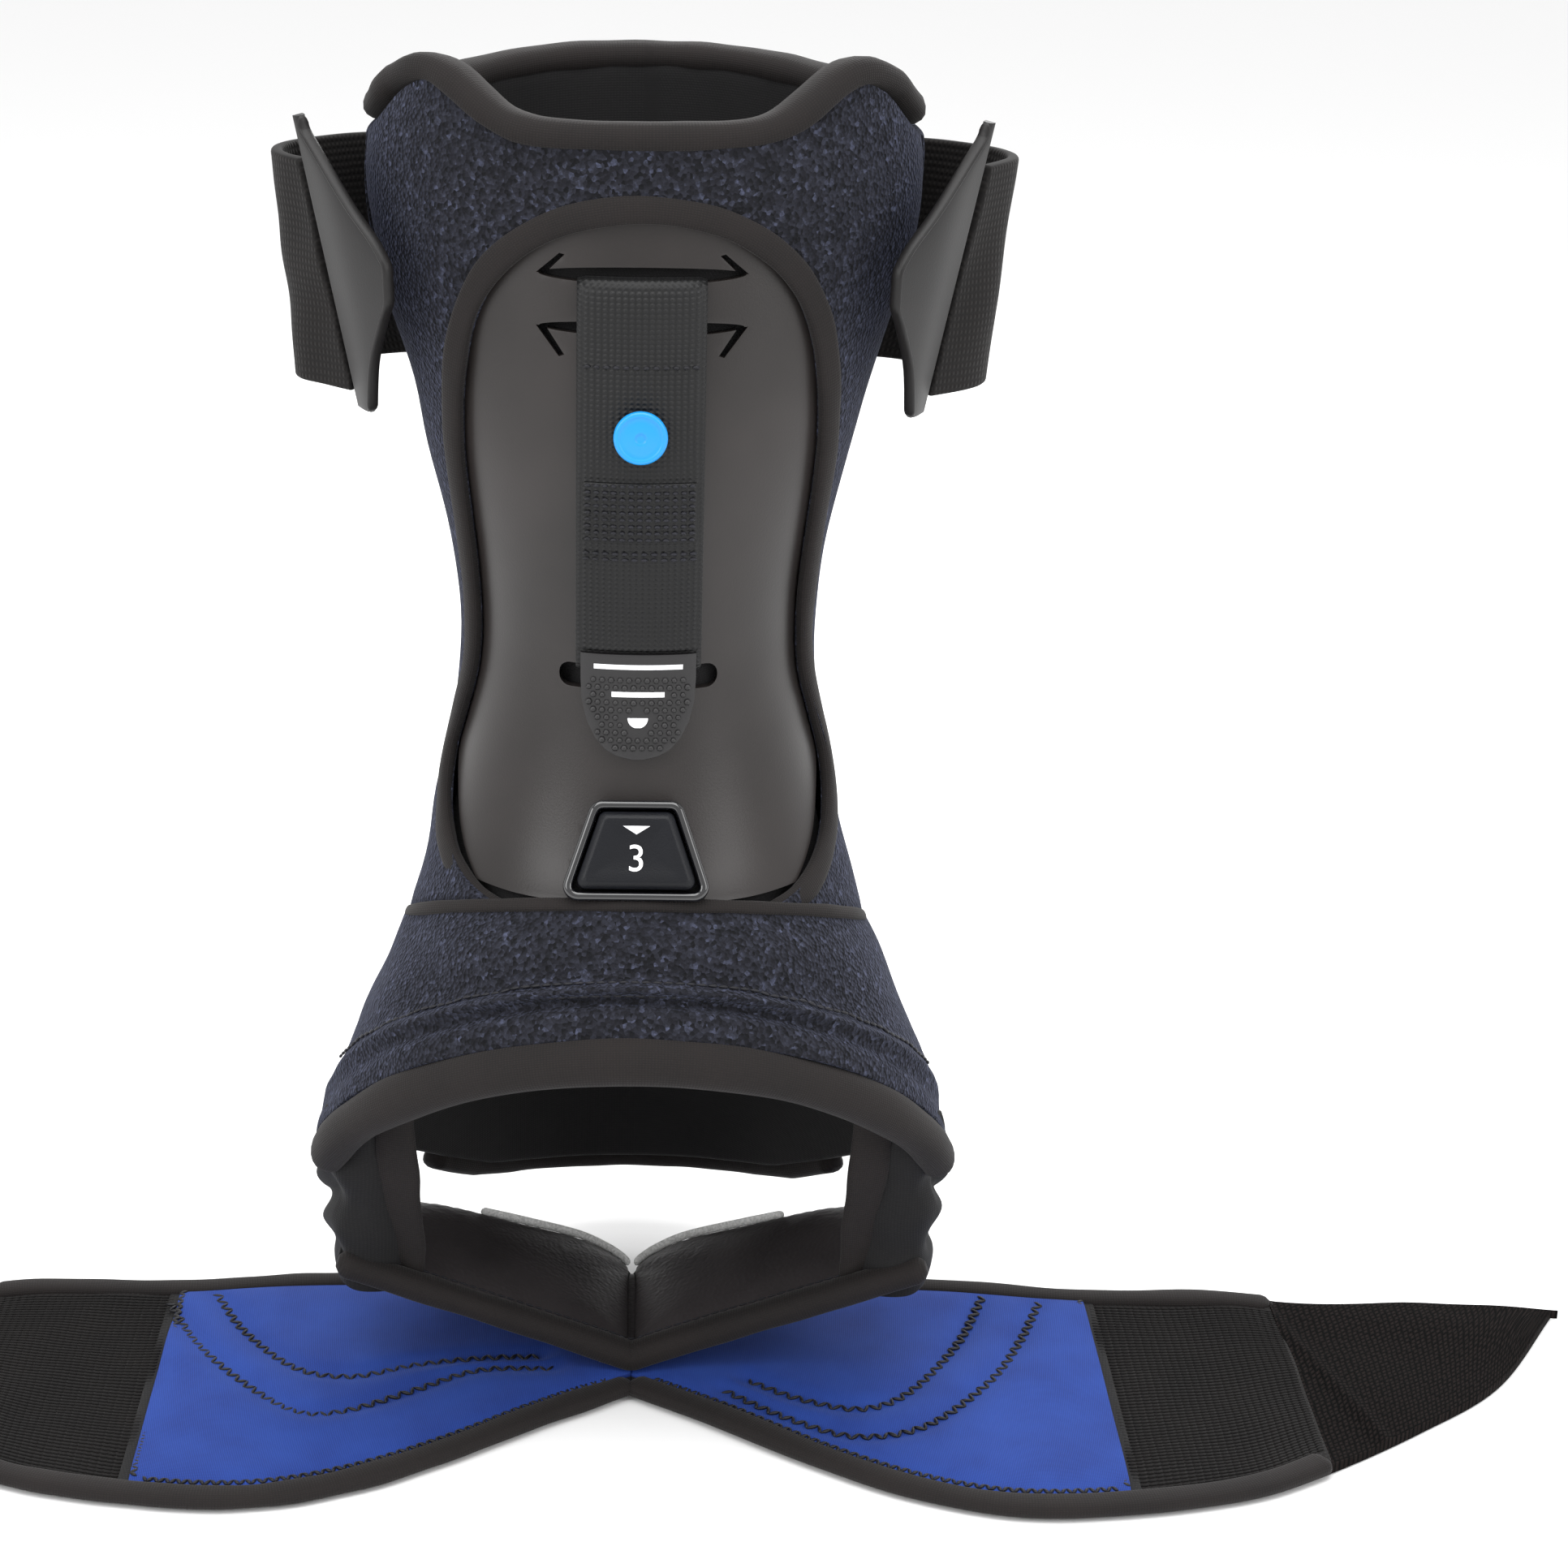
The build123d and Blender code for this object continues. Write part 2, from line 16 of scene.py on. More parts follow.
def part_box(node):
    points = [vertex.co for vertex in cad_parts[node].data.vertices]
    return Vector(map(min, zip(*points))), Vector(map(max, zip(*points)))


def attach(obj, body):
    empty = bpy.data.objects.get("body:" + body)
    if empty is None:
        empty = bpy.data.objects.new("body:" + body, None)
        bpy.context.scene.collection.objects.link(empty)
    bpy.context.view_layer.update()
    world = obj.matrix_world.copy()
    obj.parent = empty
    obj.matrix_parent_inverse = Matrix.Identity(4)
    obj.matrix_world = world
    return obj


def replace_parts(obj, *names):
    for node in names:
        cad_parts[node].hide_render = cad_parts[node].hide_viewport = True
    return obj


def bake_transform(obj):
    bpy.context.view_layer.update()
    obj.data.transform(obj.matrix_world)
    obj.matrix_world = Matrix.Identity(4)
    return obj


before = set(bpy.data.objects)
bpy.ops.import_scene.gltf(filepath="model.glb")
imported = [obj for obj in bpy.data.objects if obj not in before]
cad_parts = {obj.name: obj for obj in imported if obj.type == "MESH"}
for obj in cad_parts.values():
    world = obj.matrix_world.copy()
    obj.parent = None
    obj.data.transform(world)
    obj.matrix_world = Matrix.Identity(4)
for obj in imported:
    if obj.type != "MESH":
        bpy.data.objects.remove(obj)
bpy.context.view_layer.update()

MM = 0.001

# %% [markdown]
# Colours are written as the sRGB values that a paint or cloth maker would quote, and the renderer
# wants linear light, so one function turns the first into the second. One small function adds a
# shader or geometry node with its settings and links, which keeps every material short.

# %% Colour and node helpers
def srgb(hex_code):
    """A linear RGBA colour from an sRGB hex code."""
    raw = [int(hex_code[i:i + 2], 16) / 255 for i in (1, 3, 5)]
    return (*[c / 12.92 if c <= 0.04045 else ((c + 0.055) / 1.055) ** 2.4 for c in raw], 1.0)


def add_node(tree, kind, inputs=None, **settings):
    """A node with its settings, and its inputs set to values or linked from sockets."""
    node = tree.nodes.new(kind)
    for key, value in settings.items():
        setattr(node, key, value)
    for key, value in (inputs or {}).items():
        if isinstance(value, bpy.types.NodeSocket):
            tree.links.new(value, node.inputs[key])
        else:
            node.inputs[key].default_value = value
    return node


def new_material(name, **sockets):
    """A named material with its Principled shader's constant sockets set."""
    made = bpy.data.materials.new(name)
    made.use_nodes = True
    shader = made.node_tree.nodes["Principled BSDF"]
    for key, value in sockets.items():
        shader.inputs[key.replace("_", " ")].default_value = value
    return made, made.node_tree, shader


def bump(tree, shader, height, strength, distance):
    """Feeds a height pattern into the shader's normal."""
    made = add_node(tree, "ShaderNodeBump", {"Height": height, "Strength": strength,
                                             "Distance": distance})
    tree.links.new(made.outputs["Normal"], shader.inputs["Normal"])


def ramp(tree, factor, stops):
    """A colour ramp over a factor, from (position, hex) stops."""
    made = add_node(tree, "ShaderNodeValToRGB", {"Fac": factor})
    while len(made.color_ramp.elements) < len(stops):
        made.color_ramp.elements.new(0.5)
    for element, (at, hex_code) in zip(made.color_ramp.elements, stops):
        element.position, element.color = at, srgb(hex_code)
    return made.outputs["Color"]


# %% [markdown]
# The mouldings come first. The shin shell is polypropylene with a fine spark-eroded grain, which
# gives a soft sheen and broad highlights. The window frame is polished ABS, nearly black, with
# sharp highlights. The grip tabs are a softer thermoplastic with a duller face.

# %% Moulded plastics
def moulded(name, dark, light, roughness, grain_mm, grain, coat=0.0, shine=0.5):
    """A moulded plastic: two near tones, a grain in millimetres and how deep it is."""
    made, tree, shader = new_material(name, Roughness=roughness, Coat_Weight=coat,
                                      Coat_Roughness=0.08, Specular_IOR_Level=shine)
    place = add_node(tree, "ShaderNodeTexCoord").outputs["Object"]
    cloud = add_node(tree, "ShaderNodeTexNoise", {"Vector": place, "Scale": 22.0, "Detail": 3.0})
    tone = ramp(tree, cloud.outputs["Fac"], [(0.3, dark), (0.72, light)])
    tree.links.new(tone, shader.inputs["Base Color"])
    fine = add_node(tree, "ShaderNodeTexNoise", {"Vector": place, "Scale": 1000 / grain_mm,
                                                 "Detail": 2.0})
    bump(tree, shader, fine.outputs["Fac"], grain, 0.0001)
    return made


SHELL_PP = moulded("polypropylene_moulded_grey", "#1b1817", "#292524", 0.36, 0.5, 0.30,
                   shine=0.36)
BEZEL_ABS = moulded("ABS_polished_black", "#0a0a0c", "#101013", 0.09, 3.0, 0.02, coat=0.8)
INSERT_PA = moulded("polyamide_textured_navy_black", "#040508", "#0a0c13", 0.42, 0.35, 0.6,
                    shine=0.25)
SNAP_POM = moulded("acetal_moulded_blue", "#0a80c4", "#0f8fdc", 0.34, 0.8, 0.1)
GRIP_TPE = moulded("thermoplastic_elastomer_grey", "#0d0c0c", "#151313", 0.44, 0.4, 0.35,
                   shine=0.32)
TAB_TPE = moulded("thermoplastic_elastomer_black", "#181718", "#222122", 0.42, 0.4, 0.3,
                  shine=0.4)
INK = new_material("pad_print_ink_white", Roughness=0.55, Base_Color=srgb("#e9e9ec"))[0]
print("plastics", len(bpy.data.materials))

# %% [markdown]
# The cloths are next. The sleeve's face is brushed loop fabric: a knit of blue-black and pale
# filaments whose loops are raised, so it is speckled and dull with a soft sheen. The bindings are
# a smooth rib knit. The wrap straps are lined with royal blue jersey. The straps are woven
# polyester webbing and knitted elastic. Their patterns are in millimetres of thread spacing, and
# the finest are drawn a little coarser than real so that they still show.

# %% Cloth materials
def speckled_loop(name):
    """Brushed loop cloth: loops about 0.9 mm apart, in mixed dark filaments."""
    made, tree, shader = new_material(name, Roughness=0.95, Sheen_Weight=0.22,
                                      Sheen_Roughness=0.45, Specular_IOR_Level=0.2)
    shader.inputs["Sheen Tint"].default_value = srgb("#8a93b8")
    place = add_node(tree, "ShaderNodeTexCoord").outputs["Object"]
    loops = add_node(tree, "ShaderNodeTexVoronoi", {"Vector": place, "Scale": 1000 / 0.95,
                                                    "Randomness": 1.0})
    patch = add_node(tree, "ShaderNodeTexNoise", {"Vector": place, "Scale": 420.0, "Detail": 4.0,
                                                  "Roughness": 0.75})
    mixed = add_node(tree, "ShaderNodeMath", {0: patch.outputs["Fac"],
                                              1: loops.outputs["Color"]}, operation="MULTIPLY")
    tone = ramp(tree, mixed.outputs[0], [(0.06, "#08080a"), (0.22, "#15151a"),
                                         (0.40, "#23242c"), (0.60, "#43475a")])
    tree.links.new(tone, shader.inputs["Base Color"])
    bump(tree, shader, loops.outputs["Distance"], 0.9, 0.0006)
    return made


def knit(name, dark, light, spacing_mm, depth, sheen, roughness=0.85, rib_axis="X", tint="#9a9a9a"):
    """A plain or rib knit drawn along the piece's own UV map, which is in metres."""
    made, tree, shader = new_material(name, Roughness=roughness, Sheen_Weight=sheen,
                                      Sheen_Roughness=0.4, Specular_IOR_Level=0.3)
    shader.inputs["Sheen Tint"].default_value = srgb(tint)
    flat = add_node(tree, "ShaderNodeUVMap", uv_map="UVMap").outputs["UV"]
    k = 2 * math.pi / (spacing_mm * MM) / 20
    wales = add_node(tree, "ShaderNodeTexWave", {"Vector": flat, "Scale": k, "Distortion": 0.6,
                                                 "Detail": 1.0}, bands_direction=rib_axis)
    cross = add_node(tree, "ShaderNodeTexWave", {"Vector": flat, "Scale": k * 1.3,
                                                 "Distortion": 0.5, "Detail": 1.0},
                     bands_direction="Y" if rib_axis == "X" else "X")
    both = add_node(tree, "ShaderNodeMath", {0: wales.outputs["Fac"], 1: cross.outputs["Fac"]},
                    operation="MULTIPLY")
    place = add_node(tree, "ShaderNodeTexCoord").outputs["Object"]
    cloud = add_node(tree, "ShaderNodeTexNoise", {"Vector": place, "Scale": 60.0, "Detail": 3.0})
    fade = add_node(tree, "ShaderNodeMath", {0: cloud.outputs["Fac"], 1: both.outputs[0]},
                    operation="ADD")
    tone = ramp(tree, fade.outputs[0], [(0.35, dark), (1.15, light)])
    tree.links.new(tone, shader.inputs["Base Color"])
    bump(tree, shader, both.outputs[0], depth, 0.0003)
    return made


LOOP = speckled_loop("loop_fabric_brushed_nylon")
BINDING = knit("binding_tape_polyester_knit", "#0f0c0c", "#191413", 0.7, 0.35, 0.16)
LINER = knit("liner_laminated_jersey_black", "#0b0b0c", "#141314", 0.8, 0.3, 0.12)
JERSEY = knit("lining_jersey_royal_blue", "#11286a", "#1c3c88", 0.55, 0.25, 0.14, tint="#6f8fe0")
WEBBING = knit("webbing_woven_polyester_black", "#040405", "#0d0d0e", 1.5, 0.7, 0.06,
               roughness=0.5)
ELASTIC = knit("elastic_knitted_rubber_core_black", "#080606", "#120f0e", 1.7, 0.8, 0.08,
               rib_axis="Y")
THREAD = knit("thread_bonded_nylon_black", "#0d0d12", "#1d1d26", 0.4, 0.3, 0.1, roughness=0.5)
print("cloths", [m.name for m in bpy.data.materials][-7:])

# %% [markdown]
# The sole's two halves are covered in soft synthetic leather. Its grain is an embossed cell pattern
# about a millimetre across, so the surface has small soft highlights. The foam below it shows only
# as a pale cut edge, which is open-cell and dull. The outer tabs are a moulded hook mesh.

# %% Leather, foam and hook mesh
def leathery(name, dark, light):
    """Synthetic leather: embossed grain about 1.1 mm across, satin finish."""
    made, tree, shader = new_material(name, Roughness=0.46, Specular_IOR_Level=0.45)
    place = add_node(tree, "ShaderNodeTexCoord").outputs["Object"]
    cells = add_node(tree, "ShaderNodeTexVoronoi", {"Vector": place, "Scale": 1000 / 1.1},
                     feature="SMOOTH_F1")
    cloud = add_node(tree, "ShaderNodeTexNoise", {"Vector": place, "Scale": 35.0, "Detail": 4.0})
    tone = ramp(tree, cloud.outputs["Fac"], [(0.3, dark), (0.75, light)])
    tree.links.new(tone, shader.inputs["Base Color"])
    bump(tree, shader, cells.outputs["Distance"], 0.35, 0.0003)
    return made


def hook_mesh(name):
    """Moulded hook tape: a square mesh about 1.6 mm across."""
    made, tree, shader = new_material(name, Roughness=0.85, Specular_IOR_Level=0.06)
    flat = add_node(tree, "ShaderNodeUVMap", uv_map="UVMap").outputs["UV"]
    cells = add_node(tree, "ShaderNodeTexVoronoi", {"Vector": flat, "Scale": 1000 / 1.6,
                                                    "Randomness": 0.25}, distance="CHEBYCHEV")
    tone = ramp(tree, cells.outputs["Distance"], [(0.12, "#1c1716"), (0.42, "#020202")])
    tree.links.new(tone, shader.inputs["Base Color"])
    bump(tree, shader, cells.outputs["Distance"], 0.8, 0.0005)
    return made


SOLE_PU = leathery("polyurethane_leather_black", "#282526", "#3a3637")
FOAM, foam_tree, foam_shader = new_material("EVA_foam_cut_edge", Roughness=0.9)
foam_place = add_node(foam_tree, "ShaderNodeTexCoord").outputs["Object"]
foam_cells = add_node(foam_tree, "ShaderNodeTexNoise", {"Vector": foam_place, "Scale": 1500.0})
foam_tree.links.new(ramp(foam_tree, foam_cells.outputs["Fac"], [(0.3, "#c4c4c2"),
                                                                (0.7, "#ececea")]),
                    foam_shader.inputs["Base Color"])
bump(foam_tree, foam_shader, foam_cells.outputs["Fac"], 0.5, 0.0002)
HOOK = hook_mesh("hook_tape_moulded_mesh_black")
print("materials", len(bpy.data.materials))

# %% [markdown]
# The sleeve, the shell and the liner all follow one body: an ankle and shin whose section changes
# from a tall oval at the top to a wide, leaning oval over the foot. A subdivision cage could be
# modelled by hand, but then the layers would not nest. Here the leg is a rule instead: nine
# stations down the leg, each with a front point, a back point, a half width and how full its back
# is, joined by smooth curves. Any layer is the same rule with an inset. All of it is in
# millimetres, and becomes metres when a mesh is made.

# %% The leg as a rule
LEG = np.array([  # front y, front z, back y, back z, half width, where it is widest, back fullness
    (-51, 345, 48, 345, 61, .50, .707), (-56, 300, 48, 300, 66, .50, .707),
    (-60, 252, 43, 252, 53, .50, .707), (-57.5, 198, 38, 198, 43.5, .50, .707),
    (-66, 155, 38, 140, 51, .48, .70), (-84, 133, 42, 100, 60, .45, .67),
    (-98, 112, 46, 60, 73, .42, .61), (-103, 82, 46, 24, 82, .42, .56),
    (-100, 50, 40, -6, 85, .42, .52)], float)
LEG_KNOTS = np.vstack([2 * LEG[0] - LEG[1], LEG, 2 * LEG[-1] - LEG[-2]])


def station(v):
    """The leg's section numbers at v, from 0 at the top to 8 under the foot."""
    v = np.clip(np.asarray(v, float), 0, 7.9999)
    i = v.astype(int)
    t = (v - i)[..., None]
    a, b, c, d = (LEG_KNOTS[i + k] for k in range(4))
    return 0.5 * (2 * b + (c - a) * t + (2 * a - 5 * b + 4 * c - d) * t ** 2
                  + (3 * b - a - 3 * c + d) * t ** 3)


def leg(phi, v, inset=0.0):
    """Points on the leg: phi is the angle round it, 0 at the front and positive towards +X."""
    fy, fz, by, bz, half, widest, full = np.moveaxis(station(v), -1, 0)
    run = np.hypot(by - fy, bz - fz)
    mid = widest * run
    behind = np.clip(np.abs(phi) - math.pi / 2, 0, None)
    x = (half - inset) * np.sin(phi) * (1 - (1 - full / 0.7071) * np.sin(2 * behind))
    deep = np.where(np.abs(phi) < math.pi / 2, mid - inset, run - mid - inset)
    along = (mid - deep * np.cos(phi)) / run
    return np.stack([x, fy + (by - fy) * along, fz + (bz - fz) * along], -1)


def cut(phi, level, inset=0.0):
    """The v where level(points) changes from positive, above, to negative, below."""
    phi = np.asarray(phi, float)
    low, high = np.zeros_like(phi), np.full_like(phi, 8.0)
    for _ in range(30):
        v = (low + high) / 2
        above = level(leg(phi, v, inset)) > 0
        low, high = np.where(above, v, low), np.where(above, high, v)
    return v


def at_height(phi, z, inset=0.0):
    """The v at a height z on the leg."""
    return cut(phi, lambda p: p[..., 2] - z, inset)


def at_line(phi, line, inset=0.0):
    """The v where the leg crosses a line that is drawn on its side view as (y, z) points."""
    ys, zs = np.array(line, float).T
    return cut(phi, lambda p: p[..., 2] - np.interp(p[..., 1], ys, zs), inset)


def on_front(outline, inset=0.0):
    """(phi, v) of an outline drawn on the front view as (x, z) points."""
    x, z = np.array(outline, float).T
    phi = np.zeros_like(x)
    for _ in range(14):
        v = at_height(phi, z, inset)
        phi = 0.3 * phi + 0.7 * np.arcsin(np.clip(x / (station(v)[:, 4] - inset), -0.999, 0.999))
    return np.stack([phi, at_height(phi, z, inset)], -1)


def on_side(outline, side=1, inset=0.0):
    """(phi, v) of an outline drawn on the side view as (y, z) points, on the +X or -X side."""
    y, z = np.array(outline, float).T
    phi = np.full_like(y, math.pi / 2)
    for _ in range(14):
        v = at_height(phi, z, inset)
        fy, fz, by, bz, half, widest, full = np.moveaxis(station(v), -1, 0)
        run = np.hypot(by - fy, bz - fz)
        mid = widest * run
        back = mid - (y - fy) / (by - fy) * run
        deep = np.where(back > 0, mid - inset, run - mid - inset)
        phi = 0.3 * phi + 0.7 * np.arccos(np.clip(back / deep, -1, 1))
    return np.stack([side * phi, at_height(phi, z, inset)], -1)


print("leg", np.round(leg(np.array([0, math.pi / 2, math.pi]), np.array([3.0, 3.0, 3.0]))))

# %% [markdown]
# Cloth never lies perfectly even, so each soft layer gets a little smooth unevenness. A sum of
# slow sine waves in fixed random directions is enough, and it gives the same result each run.
# Curves are resampled to even steps, because uneven steps show as creases in the shading.

# %% Curves and unevenness
def uneven(points, size, seed):
    """Smooth noise, about -1 to 1, whose waves are about size millimetres long."""
    rng = np.random.default_rng(seed)
    total = np.zeros(points.shape[:-1])
    for _ in range(9):
        way = rng.normal(size=3)
        way *= 2 * math.pi / (size * rng.uniform(0.7, 1.7) * np.linalg.norm(way))
        total += np.sin(points @ way + rng.uniform(0, 6.28))
    return total / 3.6


def even_steps(points, count, smooth=True):
    """The points of a line, resampled to even steps along a smooth curve through them."""
    points = np.array(points, float)
    if smooth and len(points) > 2:
        ends = np.vstack([2 * points[0] - points[1], points, 2 * points[-1] - points[-2]])
        fine = []
        for i in range(len(points) - 1):
            a, b, c, d = ends[i:i + 4]
            t = np.linspace(0, 1, 24, endpoint=False)[:, None]
            fine.append(0.5 * (2 * b + (c - a) * t + (2 * a - 5 * b + 4 * c - d) * t ** 2
                               + (3 * b - a - 3 * c + d) * t ** 3))
        points = np.vstack(fine + [points[-1:]])
    gone = np.r_[0, np.cumsum(np.linalg.norm(np.diff(points, axis=0), axis=1))]
    want = np.linspace(0, gone[-1], count)
    return np.stack([np.interp(want, gone, c) for c in points.T], -1)


def on_leg(line, count, inset=0.0, smooth=True):
    """A (phi, v) line resampled to even steps as measured on the leg."""
    line = np.array(line, float)
    fine = even_steps(line, 400, smooth)
    spots = leg(fine[:, 0], fine[:, 1], inset)
    gone = np.r_[0, np.cumsum(np.linalg.norm(np.diff(spots, axis=0), axis=1))]
    want = np.linspace(0, gone[-1], count)
    return np.stack([np.interp(want, gone, c) for c in fine.T], -1)


def fill_between(top, bottom, left, right):
    """A grid that fills four edge lines: a Coons patch. Rows go from top to bottom."""
    s = np.linspace(0, 1, len(top))[None, :, None]
    t = np.linspace(0, 1, len(left))[:, None, None]
    flat = (1 - t) * ((1 - s) * top[0] + s * top[-1]) + t * ((1 - s) * bottom[0] + s * bottom[-1])
    return ((1 - t) * top[None] + t * bottom[None] + (1 - s) * left[:, None] + s * right[:, None]
            - flat)


# %% [markdown]
# Every cloth and plastic layer is a wall: an outer face and an inner face with a closed edge, so
# that it prints and exports as a solid. Making the two faces from point grids keeps the quads in
# rows, and lets the UV map be in metres, which the knits and weaves use. A bevel rounds the edge.

# %% Walls, tapes and rolls
def add_object(name, data):
    """A new object at the origin, linked into the scene."""
    made = bpy.data.objects.new(name, data)
    bpy.context.scene.collection.objects.link(made)
    return made


def new_piece(name, points, faces, material, uv=None):
    """A mesh object at the origin from millimetre points, with its faces turned outwards."""
    mesh = bpy.data.meshes.new(name)
    mesh.from_pydata((np.asarray(points, float) * MM).tolist(), [], faces)
    if uv is not None:
        layer = mesh.uv_layers.new(name="UVMap")
        flat = np.asarray(uv, float) * MM
        corners = np.empty(len(mesh.loops), int)
        mesh.loops.foreach_get("vertex_index", corners)
        layer.data.foreach_set("uv", flat[corners].ravel())
    work = bmesh.new()
    work.from_mesh(mesh)
    bmesh.ops.remove_doubles(work, verts=work.verts, dist=1e-6)
    bmesh.ops.recalc_face_normals(work, faces=work.faces)
    work.to_mesh(mesh)
    work.free()
    mesh.shade_smooth()
    mesh.materials.append(material)
    return add_object(name, mesh)


def settle(piece):
    """Applies a piece's modifiers, so that a plain mesh is left."""
    made = bpy.data.meshes.new_from_object(
        piece.evaluated_get(bpy.context.evaluated_depsgraph_get()))
    old, piece.data = piece.data, made
    piece.modifiers.clear()
    bpy.data.meshes.remove(old)
    made.name = piece.name
    return piece


def round_edges(piece, width, segments=3, angle=50):
    """Rounds a piece's sharp edges, width in millimetres."""
    bevel = piece.modifiers.new("round", "BEVEL")
    bevel.width, bevel.segments, bevel.limit_method = width * MM, segments, "ANGLE"
    bevel.angle_limit = math.radians(angle)
    bevel.use_clamp_overlap = True
    return settle(piece)


def wall(name, outer, inner, material, ring=False, edge=0.8, segments=3):
    """A closed wall between two grids of points. ring joins its last column to its first."""
    rows, columns = outer.shape[:2]
    points = np.vstack([outer.reshape(-1, 3), inner.reshape(-1, 3)])
    along = np.zeros((rows, columns))
    along[:, 1:] = np.cumsum(np.linalg.norm(np.diff(outer, axis=1), axis=2), axis=1)
    down = np.zeros((rows, columns))
    down[1:] = np.cumsum(np.linalg.norm(np.diff(outer, axis=0), axis=2), axis=0)
    uv = np.tile(np.stack([along, down], -1).reshape(-1, 2), (2, 1))
    spot = np.arange(rows * columns).reshape(rows, columns)
    last = columns if ring else columns - 1
    faces, back = [], rows * columns
    for r in range(rows - 1):
        for c in range(last):
            a, b = spot[r, c], spot[r, (c + 1) % columns]
            d, e = spot[r + 1, c], spot[r + 1, (c + 1) % columns]
            faces += [(a, d, e, b), (a + back, b + back, e + back, d + back)]
    edges = [(spot[0, c], spot[0, (c + 1) % columns]) for c in range(last)]
    edges += [(spot[-1, (c + 1) % columns], spot[-1, c]) for c in range(last)]
    if not ring:
        edges += [(spot[r + 1, 0], spot[r, 0]) for r in range(rows - 1)]
        edges += [(spot[r, -1], spot[r + 1, -1]) for r in range(rows - 1)]
    faces += [(a, b, b + back, a + back) for a, b in edges]
    piece = new_piece(name, points, [tuple(int(i) for i in f) for f in faces], material, uv)
    return round_edges(piece, edge, segments) if edge else piece


def layer(name, grid, outer, inner, material, lift=None, **more):
    """A wall on the leg over a (phi, v) grid, from one inset to another, with a lift outwards."""
    phi, v = grid[..., 0], grid[..., 1]
    rise = 0.0 if lift is None else lift
    return wall(name, leg(phi, v, outer - rise), leg(phi, v, inner), material, **more)


def directions(path, closed=False):
    """The unit direction of travel at each point of a line."""
    ahead = np.roll(path, -1, 0) - np.roll(path, 1, 0)
    if not closed:
        ahead[0], ahead[-1] = path[1] - path[0], path[-1] - path[-2]
    return ahead / np.linalg.norm(ahead, axis=1, keepdims=True)


def outwards(line, inset=0.0):
    """The leg's outward direction at each (phi, v) of a line."""
    phi, v = line[:, 0], line[:, 1]
    round_it = leg(phi + 0.01, v, inset) - leg(phi - 0.01, v, inset)
    down = leg(phi, np.clip(v + 0.02, 0, 8), inset) - leg(phi, np.clip(v - 0.02, 0, 8), inset)
    out = np.cross(down, round_it)
    return out / np.linalg.norm(out, axis=1, keepdims=True)


def oval(wide, thick, count=14, square=2.6):
    """A rounded tape section: (across, out) points, squarer than an ellipse."""
    a = np.arange(count) * 2 * math.pi / count
    c, s = np.cos(a), np.sin(a)
    return np.stack([wide / 2 * np.sign(c) * np.abs(c) ** (2 / square),
                     thick / 2 * np.sign(s) * np.abs(s) ** (2 / square)], -1)


def roll(name, path, out, section, material, closed=False, taper=True, swell=None):
    """A tape or roll: a closed section carried along a line, with closed, tapered ends."""
    ahead = directions(path, closed)
    across = np.cross(ahead, out)
    across /= np.linalg.norm(across, axis=1, keepdims=True)
    out = np.cross(across, ahead)
    size = np.ones(len(path)) if swell is None else swell
    if taper and not closed:
        size = size.copy()
        size[[0, -1]] *= 0.45
        size[[1, -2]] *= 0.85
    rings = (path[:, None] + size[:, None, None] * (across[:, None] * section[None, :, :1]
                                                    + out[:, None] * section[None, :, 1:]))
    n, k = rings.shape[:2]
    gone = np.r_[0, np.cumsum(np.linalg.norm(np.diff(path, axis=0), axis=1))]
    about = np.r_[0, np.cumsum(np.linalg.norm(np.diff(section, axis=0), axis=1))]
    uv = np.stack(np.broadcast_arrays(gone[:, None], about[None]), -1).reshape(-1, 2)
    faces = []
    for i in range(n if closed else n - 1):
        for j in range(k):
            a, b = i * k + j, i * k + (j + 1) % k
            c, d = ((i + 1) % n) * k + j, ((i + 1) % n) * k + (j + 1) % k
            faces.append((a, b, d, c))
    if not closed:
        faces += [tuple(range(k)), tuple(range((n - 1) * k, n * k))]
    return new_piece(name, rings.reshape(-1, 3), faces, material, uv)


# %% [markdown]
# Sewing thread repeats thousands of times, so Geometry Nodes makes it. A stitch line is first a
# mesh of loose edges, one edge for each stitch, worked out on the surface that it holds down. The
# tree turns each edge into a point, and puts a low, six-sided capsule there, as long as the edge
# and turned along it. The same tree makes knitted ribs and cords from longer edges.

# %% The stitch tree
def finish_tree(tree, placed, material):
    """Makes a tree's instances real, smooth and of one material, and ends the tree."""
    real = add_node(tree, "GeometryNodeRealizeInstances", {"Geometry": placed.outputs[0]})
    smooth = add_node(tree, "GeometryNodeSetShadeSmooth", {"Geometry": real.outputs[0]})
    done = add_node(tree, "GeometryNodeSetMaterial", {"Geometry": smooth.outputs[0],
                                                      "Material": material})
    add_node(tree, "NodeGroupOutput", {"Geometry": done.outputs["Geometry"]})
    return tree


def run_tree(piece, tree, values):
    """Runs a tree on a piece with its named inputs set, and keeps the plain mesh."""
    nodes = piece.modifiers.new(tree.name, "NODES")
    nodes.node_group = tree
    sockets = {s.name: s.identifier for s in tree.interface.items_tree if s.in_out == "INPUT"}
    for label, value in values.items():
        nodes[sockets[label]] = value
    return settle(piece)


